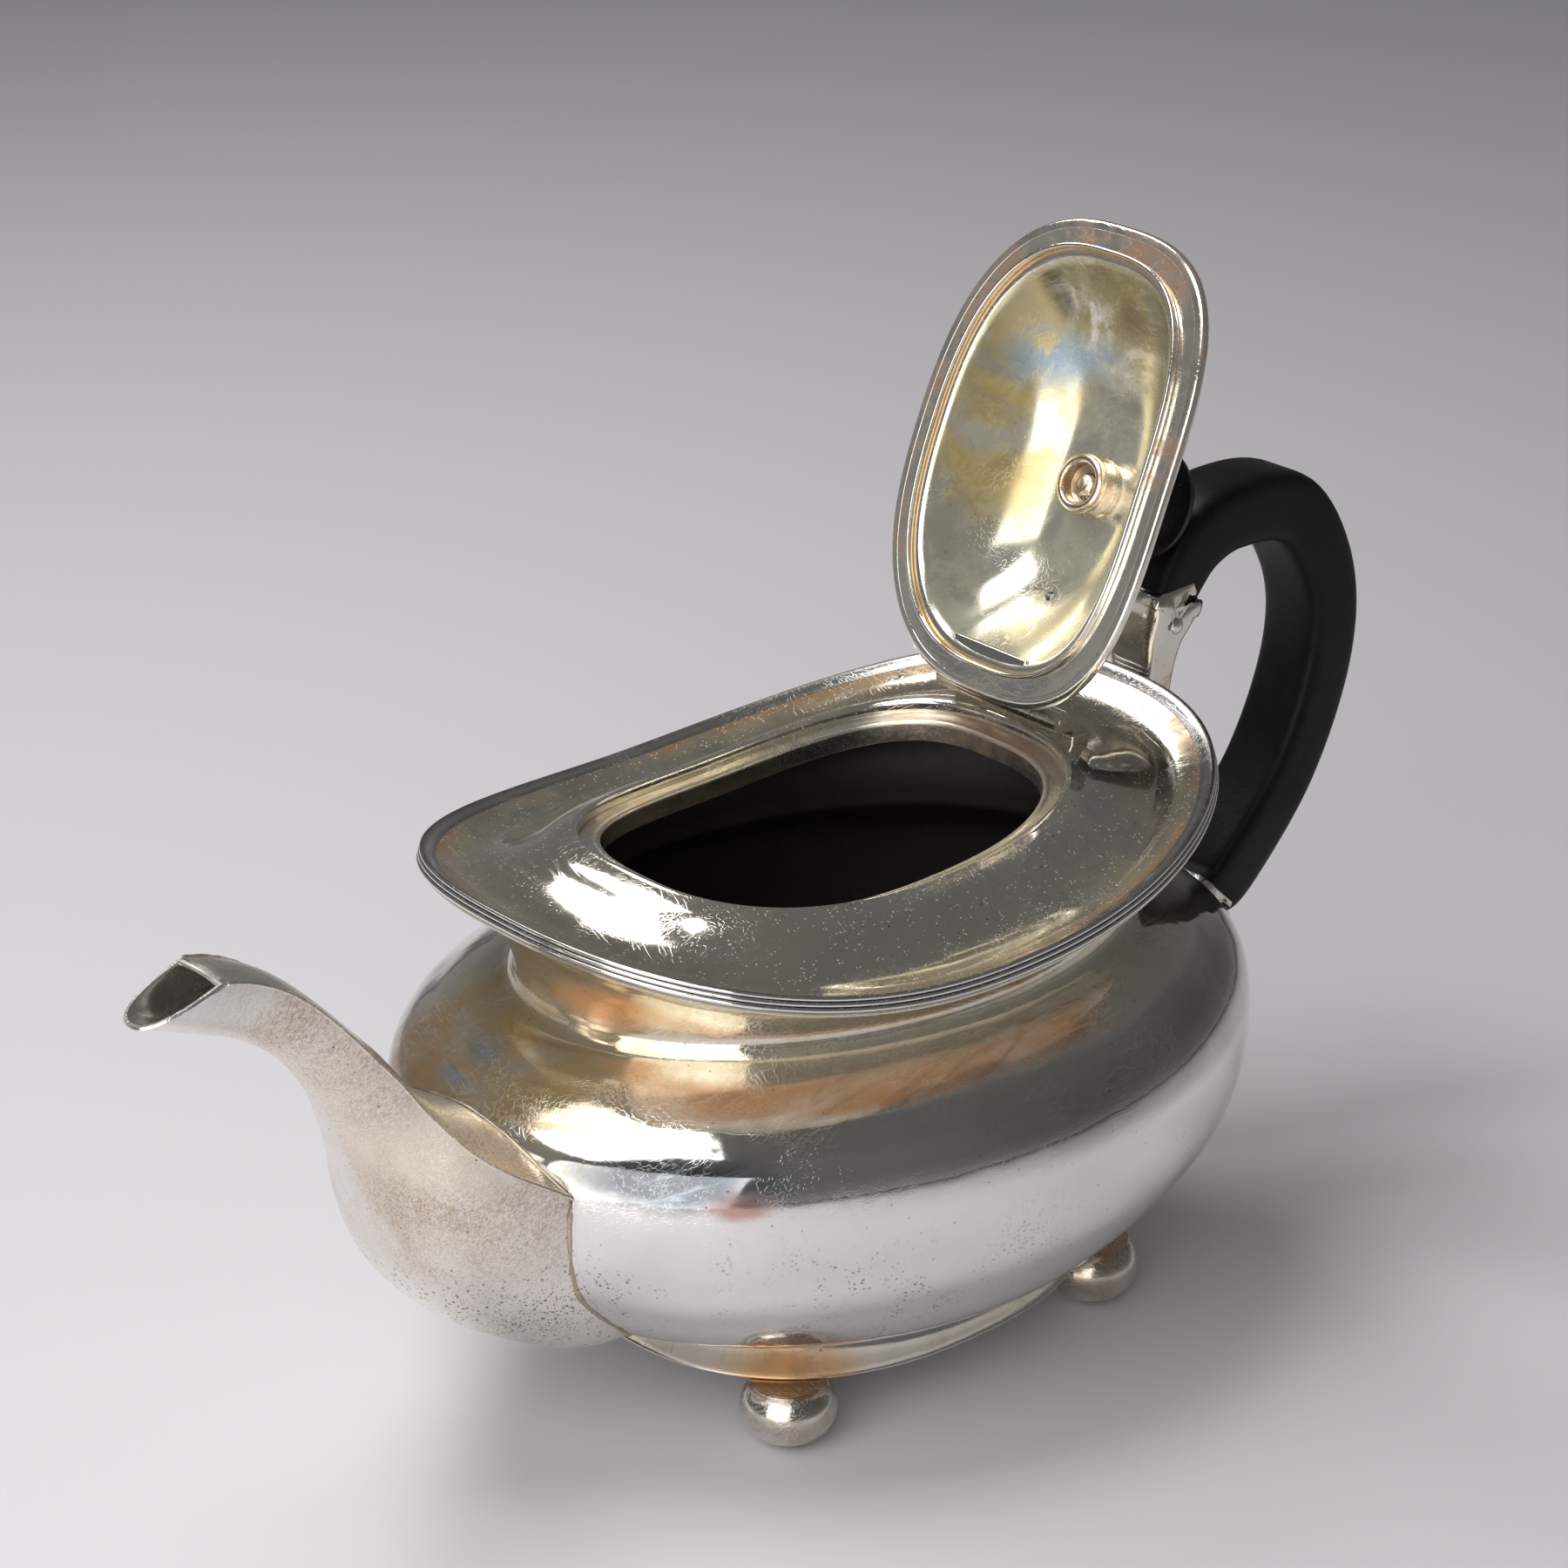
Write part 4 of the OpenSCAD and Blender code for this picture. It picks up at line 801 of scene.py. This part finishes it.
base = RIM_H - REED_H / 2
pitch = REED_H / 3
reed_section = [(REED_BAND, base), (BODY_EDGE, base)]
reed_groove = [0.0, 0.6]
for k in range(3):
    r = pitch * 0.53
    bow = arc(0, 0, r, -78, 78, 9)
    for px, pz in bow:
        reed_section.append((0.25 * k + r - px + 0.02, base + pitch * (k + 0.5) + pz * 0.98))
        reed_groove.append(max(0.0, (abs(pz) / r - 0.62) / 0.36) ** 1.3)
top = base + REED_H
reed_section += [(1.5, top - 0.12), (2.2, top - 0.45), (REED_BAND, top - 0.9)]
reed_groove += [0.5, 0.1, 0.6]
banded("rim_reeds", rim_plan, reed_section, "pot", RIM, stands_for=("rim_wire",), sharp=50,
       layers={"groove": np.repeat(reed_groove, PLAN_POINTS)})

cover_profile = curve([(0, 0.4), (0.16, -0.7), (0.34, -0.5), (0.52, 1.0), (0.7, 3.4), (0.86, 5.8), (1, 7.1)], 6)


def cover_ring(s, z, drop=0.0):
    plan = rim_plan(REED_BAND) * (1 - s) + crest_plan(0) * s
    return lift(plan, RIM_H + z - drop, SHEER)


# Each row is a ring and how near it is to the crest
cover_rows = [(cover_ring(s, z), s) for s, z in cover_profile]
cover_rows += [(lift(crest_plan(inset), CREST_H + z, SHEER), 1.0) for inset, z in (
    (0.25, 0.03), (0.55, 0.12), (0.85, 0.1), (1.1, -0.02), (1.3, -0.2), (1.4, -0.5),
    (1.4, -LEDGE_DROP - 0.9), (0.5, -LEDGE_DROP - 0.9))]
cover_rows += [(cover_ring(s, z, 1.0), 0.6) for s, z in cover_profile[-2::-1]]
cover_rings, cover_edge = zip(*cover_rows)
lofted("cover", cover_rings, "pot", COVER, join=True, sharp=50,
       layers={"edge": np.repeat(cover_edge, PLAN_POINTS)})

ledge = CREST_H - LEDGE_DROP
opening = CREST_ROLL + LEDGE_W
seat_section = [(opening, ledge - BEZEL_DEPTH), (opening - WALL, ledge - BEZEL_DEPTH), (opening - WALL, ledge - WALL),
                (CREST_ROLL, ledge - WALL), (CREST_ROLL, ledge), (CREST_ROLL + 1.4, ledge - 0.05),
                (opening - 1.3, ledge - 0.05), (opening - 0.75, ledge + 0.2), (opening - 0.2, ledge + 0.15),
                (opening, ledge - 0.3)]
banded("lid_seat", crest_plan, eased(seat_section, 0.3), "pot", SEAT, stands_for=("seat_bezel",))

# ---------------- base and feet

collar_rings = [lift(base_plan(inset), BASE_H + z) for inset, z in ((0.25, 0), (0.05, 0.15), (0, 0.4), (0.3, 0.75))]
for k in range(1, 9):
    t = k / 8
    low, high = base_plan(0.3 + 4.7 * t), belly_plan(BOTTOM_INSET)
    plan = low * (1 - t ** 3) + high * t ** 3
    collar_rings.append(lift(plan, BASE_H + 0.75 + (BOTTOM_H - BASE_H - 0.75) * (0.62 * t + 0.38 * t ** 3)))
collar_rings += [lift(belly_plan(BOTTOM_INSET + 6), BOTTOM_H - 0.01),
                 lift(base_plan(10.8), BASE_H + 0.3), lift(base_plan(11), BASE_H)]
lofted("base_collar", collar_rings, "pot", COLLAR, join=True)

BOTTOM_T = 1.0
bottom_rings = [lift(belly_plan(BOTTOM_INSET + 34), BOTTOM_H + BOTTOM_T),
                lift(belly_plan(BOTTOM_INSET + WALL), BOTTOM_H + BOTTOM_T)]
bottom_rings += [lift(belly_plan(BOTTOM_INSET + WALL + k), BOTTOM_H + 0.02 + 0.35 * (k / 40) ** 2)
                 for k in range(0, 37, 2)]
lofted("bottom_plate", bottom_rings, "pot", BOTTOM)

FOOT_R, FOOT_HALF_H = 8.6, 6.9
FOOT_X, FOOT_SPREAD_X, FOOT_SPREAD_Y = 6.9, 36.9, 31.7
foot_profile = [(1.6, 0.0), (2.3, 0.02)]
foot_profile += [(FOOT_R * math.cos(a), FOOT_HALF_H * (1 + math.sin(a)))
                 for a in np.radians(np.linspace(-73, 38, 34))]
foot_profile += [(6.5, 11.3), (6.25, 11.6), (6.4, 11.9), (6.6, 12.2)]
for end, sx in (("front", -1), ("rear", 1)):
    for side, sy in (("left", -1), ("right", 1)):
        rings = turned_rings(foot_profile) + np.array([FOOT_X + sx * FOOT_SPREAD_X, sy * FOOT_SPREAD_Y, 0])
        lofted("foot_" + end + "_" + side, rings, "pot", FOOT)

# ---------------- handle and sockets

# Half the grip's depth and width, and of its ends
HD, HW = 6.5, 7.4
END_D, END_W = HD - 0.9, HW - 0.9
SOCKET_H, LOW_H = CREST_H + 21, 51.0
BACK_X, TOP_Z = 137.5 - HD - 0.4, CREST_H + 40 - HD - 0.3
MOUTH_X, LOW_X = RIM_REAR + 7.15, BELLY_X + BELLY_L / 2 + 5.4


def bar_rings(path, steps=72, roundness=0.38):
    """A bar swept along stations in the middle plane: x, z, half-depth and half-width."""
    p = np.asarray(path, float)
    d = unit(np.gradient(p[:, :2], axis=0))
    t = around(steps)
    cu, sv = boxy(np.cos(t), roundness), boxy(np.sin(t), roundness)
    rings = []
    for (x, z, hd, hw), (dx, dz) in zip(p, d):
        u = hd * cu
        rings.append(np.column_stack([x - dz * u, -hw * sv, z + dx * u]))
    return rings


handle_path = curve([
    (MOUTH_X - 2, SOCKET_H - 8, END_D - 1.9, END_W - 1.3), (MOUTH_X, SOCKET_H, END_D, END_W),
    (BACK_X - 36.7, TOP_Z - 3.1, HD + 0.1, HW), (BACK_X - 26, TOP_Z + 0.1, HD + 0.3, HW),
    (BACK_X - 10.8, TOP_Z - 3, HD + 0.4, HW), (BACK_X - 1, TOP_Z - 18.4, HD + 0.1, HW),
    (BACK_X - 0.6, TOP_Z - 36, HD, HW), (BACK_X - 9.3, TOP_Z - 56.4, HD, HW),
    (BACK_X - 24, LOW_H + 7, HD, HW),
    (LOW_X + 3.5, LOW_H + 2.8, END_D, HW - 0.7), (LOW_X - 2.6, LOW_H - 1.7, HD - 2, HW - 1.5)], 10)
lofted("handle", bar_rings(handle_path), "pot", HANDLE, sharp=60)

upper_stations = [(MOUTH_X - x, SOCKET_H - z, half_d, half_w) for x, z, half_d, half_w in (
    (21, 60, 6.5, 8.5), (11.6, 50, 5, 7), (6.8, 40, 3.8, 5.7), (4.2, 30, 3.4, 5.1), (3.1, 20, 3.4, 5.1),
    (2.8, 13.5, 3.8, 5.6), (2.2, 8, END_D - 0.8, END_W - 0.3), (0.9, 3.2, END_D + 0.5, END_W + 0.7),
    (0.7, 2.5, END_D + 0.6, END_W + 0.8), (0.55, 2.1, END_D + 1.2, END_W + 1.2),
    (0.2, 0.9, END_D + 1.3, END_W + 1.3), (0.05, 0.2, END_D + 1.15, END_W + 1.15),
    (0, 0, END_D + 0.7, END_W + 0.7), (0, 0.05, END_D + 0.05, END_W + 0.05))]
lower_stations = [(LOW_X + x, LOW_H + z, half_d, half_w) for x, z, half_d, half_w in (
    (-17, -12, HD - 2.5, HW + 2), (-9, -6, HD + 0.8, HW + 0.8), (-1.5, -0.9, HD, HW), (1.5, 1.2, HD, HW),
    (3.0, 2.4, END_D + 0.9, HW + 0.25), (3.5, 2.8, END_D + 0.7, HW), (3.5, 2.78, END_D + 0.05, HW - 0.65))]
for name, stations, rows in (("upper_socket", upper_stations, 70), ("lower_socket", lower_stations, 50)):
    rings = bar_rings(curve(stations, 5))[::-1]
    lofted(name, cut_at_belly(rings, 0.4, rows, 1.0)[0], "pot", SOCKET, sharp=50)


def pin_rings(x, z, half):
    """A pin through a socket, with small domed heads at both ends."""
    profile = [(0.02, -0.72), (0.5, -0.68), (0.95, -0.5), (1.35, -0.25), (1.55, -0.04), (1.5, 0.05), (1.0, 0.12)]
    profile += [(1.0, 2 * half - 0.12)] + [(r, 2 * half - h) for r, h in profile[5::-1]]
    rings = turned_rings(profile, 32)
    return np.stack([rings[..., 0] + x, rings[..., 2] - half, rings[..., 1] + z], -1)


lofted("upper_handle_pin", pin_rings(MOUTH_X - 1.3, SOCKET_H - 4.6, END_W + 0.7), "pot", PIN)
lofted("lower_handle_pin", pin_rings(LOW_X + 0.6, LOW_H + 0.6, HW + 0.1), "pot", PIN)

# ---------------- lid


def dome_ring(q, low, height, inset):
    """One ring of the dome: q is its share of the way out, and the middle fifth is flat."""
    s = max(0.0, (q - 0.2) / 0.8)
    plan = lid_plan(FLANGE_W + inset)
    x = FINIAL_X * (1 - q) + plan[:, 0] * q
    return np.column_stack([x, plan[:, 1] * q, low + height * (1 - s ** DOME_POWER) + SHEER * s * x ** 2])


top = LID_UNDER + LID_T
inside_rise = DOME_TOP - LID_UNDER - 0.5
outside_rise = DOME_TOP + LID_T - top - 0.5
steps = [0.02] + [k / 36 for k in range(1, 37)]
# Each row is a ring, how far out it is and whether it is on the inside
lid_rows = [(dome_ring(s, LID_UNDER + 0.5, inside_rise, LID_T), s * 0.7, 1.0) for s in steps]
lid_rows += [(lift(lid_plan(inset), LID_UNDER + z, SHEER), out, 1.0) for inset, z, out in (
    (FLANGE_W + 0.5, 0.28, 0.72), (FLANGE_W, 0.06, 0.74), (FLANGE_W - 0.5, -0.02, 0.76), (FLANGE_W - 1.0, 0.0, 0.85),
    (FLANGE_W - 1.6, 0.0, 0.9), (BEAD_W + 2.0, 0.06, 0.96), (BEAD_W, 0.0, 1.0))]
lid_rows += [(lift(lid_plan(inset), top + z, SHEER), 0.9, 0.0) for inset, z in (
    (BEAD_W, 0.0), (FLANGE_W - 1.4, 0.0), (FLANGE_W - 1.0, 0.06), (FLANGE_W - 0.5, 0.22))]
lid_rows += [(dome_ring(s, top + 0.5, outside_rise, 0), s * 0.7, 0.0) for s in steps[::-1]]
lid_rings, lid_out, lid_in = zip(*lid_rows)
lid = lofted("lid_dome", thrown_back(np.array(lid_rings)), "lid", LID, join=True, sharp=40,
             layers={"out": np.repeat(lid_out, PLAN_POINTS), "inside": np.repeat(lid_in, PLAN_POINTS)})
STEAM_X, STEAM_D = FINIAL_X + 21, 1.7
hole = thrown_back(np.array([[STEAM_X, 0, DOME_TOP - 14.0], [STEAM_X, 0, DOME_TOP + 6.0]]))
drilled(lid, [(hole[0], hole[1] - hole[0], 20.0, STEAM_D)])

low = LID_UNDER - 0.05
bead_section = [(inset, low + z) for inset, z in (
    (BEAD_W, 0), (0.9, 0), (0.35, 0.15), (0.08, 0.55), (0.0, BEAD_H * 0.5), (0.12, BEAD_H * 0.78),
    (0.45, BEAD_H * 0.95), (0.95, BEAD_H), (1.45, BEAD_H * 0.92), (BEAD_W, BEAD_H - 0.7))]
RIDGE_H, RIDGE_T = 1.5, 0.7
out = FLANGE_W - RIDGE_H
ridge_section = [(out + RIDGE_T, LID_UNDER - RIDGE_H), (out, LID_UNDER - RIDGE_H), (out, LID_UNDER),
                 (out + RIDGE_T, LID_UNDER)]
for name, section, far_out, shown in (("lid_bead", eased(bead_section, 0.2), 1.0, 0.6),
                                      ("lid_ridge", eased(ridge_section, 0.3), 0.86, 0.8)):
    count = len(section) * PLAN_POINTS
    banded(name, lid_plan, section, "lid", LID, turned=True,
           layers={"out": np.full(count, far_out), "inside": np.full(count, shown)})

# ---------------- finial

FINIAL_BASE_H, BUTTON_R = 4.6, 11
finial_base_profile = [(2.2, 0.0), (4.6, 0.0), (4.85, 0.25), (4.75, 0.6), (3.9, 1.1), (3.45, 1.7), (3.45, 2.2),
                       (4.1, 2.85), (5.3, 3.4), (6.2, 3.8), (6.42, 4.1), (6.35, 4.4), (6.0, 4.58),
                       (2.2, FINIAL_BASE_H)]
lofted("finial_base", on_dome(turned_rings(curve(finial_base_profile, 3)), 0), "lid", FINIAL_BASE, join=True)
t = np.radians(np.linspace(0, 90, 14))
button_profile = [(2.0, 0.0), (5.6, 0.0)]
button_profile += [(BUTTON_R - 6.4 * math.cos(a), 0.8 + 6.48 * math.sin(a)) for a in t]
button_profile += [(BUTTON_R * math.cos(a), 7.28 + 5.72 * math.sin(a)) for a in t[1:-1]] + [(0.3, 13.0)]
lofted("finial_button", on_dome(turned_rings(button_profile), FINIAL_BASE_H), "lid", BUTTON, sharp=50)

# The stud's thread ends a little inside the nut
NUT_H, THREAD_PITCH = 5.8, 0.95
stud_low = -(NUT_H - 1.2 + LID_T)
turns = around(48)
rows = np.linspace(stud_low, 9.0, 150)
saw = np.abs(((rows[:, None] / THREAD_PITCH - turns[None] / (2 * np.pi)) % 1) * 2 - 1)
fade = np.clip((rows - stud_low) / 0.5, 0.3, 1)[:, None]
radius = (1.62 + 0.46 * saw) * fade ** 0.25
stud = np.stack([radius * np.cos(turns), radius * np.sin(turns), np.repeat(rows[:, None], 48, 1)], -1)
lofted("finial_stud", on_dome(stud, 0), "lid", STUD, sharp=60)

nut_profile = eased([(2.13, 2.6), (3.7, 2.6), (3.7, 0.4), (4.2, 0.0), (4.7, 0.0), (5.3, 0.35), (5.6, 1.0),
                     (5.45, 1.7), (5.2, 2.2), (5.2, 5.0), (5.5, 5.5), (5.6, NUT_H), (2.13, NUT_H)], 0.25)
lofted("finial_nut", on_dome(turned_rings(nut_profile), -LID_T - NUT_H), "lid", NUT, join=True)

# ---------------- hinge and the rest of the solids

for node, finish in (("hinge_body_leaf", HINGE), ("hinge_lid_leaf", HINGE), ("hinge_pin", PIN)):
    solid = frame["nodes"][node]
    solid.data.materials.clear()
    solid.data.materials.append(finish)
    soften = solid.modifiers.new("soft_edges", "BEVEL")
    soften.width, soften.segments, soften.limit_method, soften.angle_limit = 0.00018, 2, "ANGLE", math.radians(40)


def block(name, low, high, body, finish, turned=False):
    """A small pad with rounded edges, between two corners. It stands for no solid."""
    work = bmesh.new()
    bmesh.ops.create_cube(work, size=1.0)
    low, high = np.array(low, float), np.array(high, float)
    for v in work.verts:
        v.co = (low + high) / 2 + np.array(v.co) * (high - low)
    bmesh.ops.bevel(work, geom=list(work.edges), offset=0.5, segments=3, affect="EDGES", profile=0.6)
    bmesh.ops.subdivide_edges(work, edges=[e for e in work.edges if e.calc_length() > 4], cuts=4, use_grid_fill=True)
    points = np.array([v.co[:] for v in work.verts])
    work.verts.index_update()
    faces = [[v.index for v in f.verts] for f in work.faces]
    work.free()
    if turned:
        points = thrown_back(points)
    even = np.ones(len(points))
    return piece(name, points, faces, body, finish, stands_for=(), sharp=60,
                 layers={"edge": even, "out": even, "inside": 0 * even})


pad_x = CREST_X + CREST_L / 2 + 0.2
block("cover_hinge_pad", (pad_x, -HINGE_L / 2, HINGE_H - 9.4), (pad_x + 4, HINGE_L / 2, HINGE_H - 3.4),
      "pot", COVER)
block("lid_hinge_pad", (HINGE_X - 8.6, -9.3, LID_UNDER + 0.6 + SHEER * 42 ** 2),
      (HINGE_X - 4, 9.3, HINGE_H - 2.9), "lid", LID, turned=True)

# ---------------- floor, light and camera


def floor():
    """A plain pale table top."""
    work = bmesh.new()
    bmesh.ops.create_grid(work, x_segments=8, y_segments=8, size=6.0)
    mesh = bpy.data.meshes.new("floor")
    work.to_mesh(mesh)
    work.free()
    obj = linked("floor", mesh)
    f = Finish("pale_table", Specular_IOR_Level=0.3)
    cloud = f.noise(3.0, 3.0, 0.5)
    f.set("Base Color", f.mix(cloud * 0.3, (0.8, 0.775, 0.8), (0.77, 0.745, 0.77)))
    f.set("Roughness", 0.6 + 0.1 * cloud)
    mesh.materials.append(f.material)


def aimed(obj, place, back, turn):
    """Stands a lamp or a camera at a place in metres, facing away from the direction of its back, and turned
    about that direction in degrees."""
    back = unit(back)
    right = unit(np.cross((0, 0, 1), back))
    up = np.cross(back, right)
    c, s = math.cos(math.radians(turn)), math.sin(math.radians(turn))
    right, up = c * right + s * up, c * up - s * right
    obj.matrix_world = Matrix([[right[i], up[i], back[i], place[i]] for i in range(3)] + [[0, 0, 0, 1]])


def softbox(name, place, aim, size, power, turn=0.0):
    """A rectangular lamp that faces its aim."""
    data = bpy.data.lights.new(name, "AREA")
    data.shape, data.size, data.size_y = "RECTANGLE", *size
    data.energy = power
    aimed(linked(name, data), place, np.array(place, float) - np.array(aim, float), turn)


def world():
    """Even grey surroundings, a little brighter from below."""
    w = bpy.data.worlds.new("studio")
    bpy.context.scene.world = w
    w.use_nodes = True
    tree = w.node_tree
    sky = tree.nodes["Background"]
    place = tree.nodes.new("ShaderNodeTexCoord")
    split = tree.nodes.new("ShaderNodeSeparateXYZ")
    ramp = tree.nodes.new("ShaderNodeValToRGB")
    stops = ((0.0, 0.2), (0.15, 0.13), (0.45, 0.1), (1.0, 0.11))
    while len(ramp.color_ramp.elements) < len(stops):
        ramp.color_ramp.elements.new(0.5)
    for element, (at, grey) in zip(ramp.color_ramp.elements, stops):
        element.position = at
        element.color = (grey * 0.99, grey * 0.985, grey, 1)
    tree.links.new(place.outputs["Generated"], split.inputs[0])
    tree.links.new(split.outputs[2], ramp.inputs[0])
    tree.links.new(ramp.outputs[0], sky.inputs[0])


floor()
world()
softbox("back", (0.09, 0.55, 0.8), (0, 0, 0.08), (0.27, 0.42), 2.2, -18.0)
softbox("top", (-0.27, 0.13, 0.92), (-0.04, 0, 0.07), (0.42, 0.46), 3.6)
softbox("side", (-0.58, -0.27, 0.34), (0.05, 0, 0.13), (0.66, 0.76), 3.6)

# The camera stands in front and to the left, looking a little down
A, E = math.radians(-40.9119), math.radians(23.7862)
lens = bpy.data.cameras.new("camera")
lens.sensor_width, lens.lens = 36.0, 100.02
lens.clip_start, lens.clip_end = 0.05, 50.0
camera = linked("camera", lens)
aimed(camera, np.array([-454.91, -521.55, 410.22]) * MM,
      np.array([math.sin(A) * math.cos(E), -math.cos(A) * math.cos(E), math.sin(E)]), -0.2584)
bpy.context.scene.camera = camera
bpy.context.scene.view_settings.view_transform = "Standard"
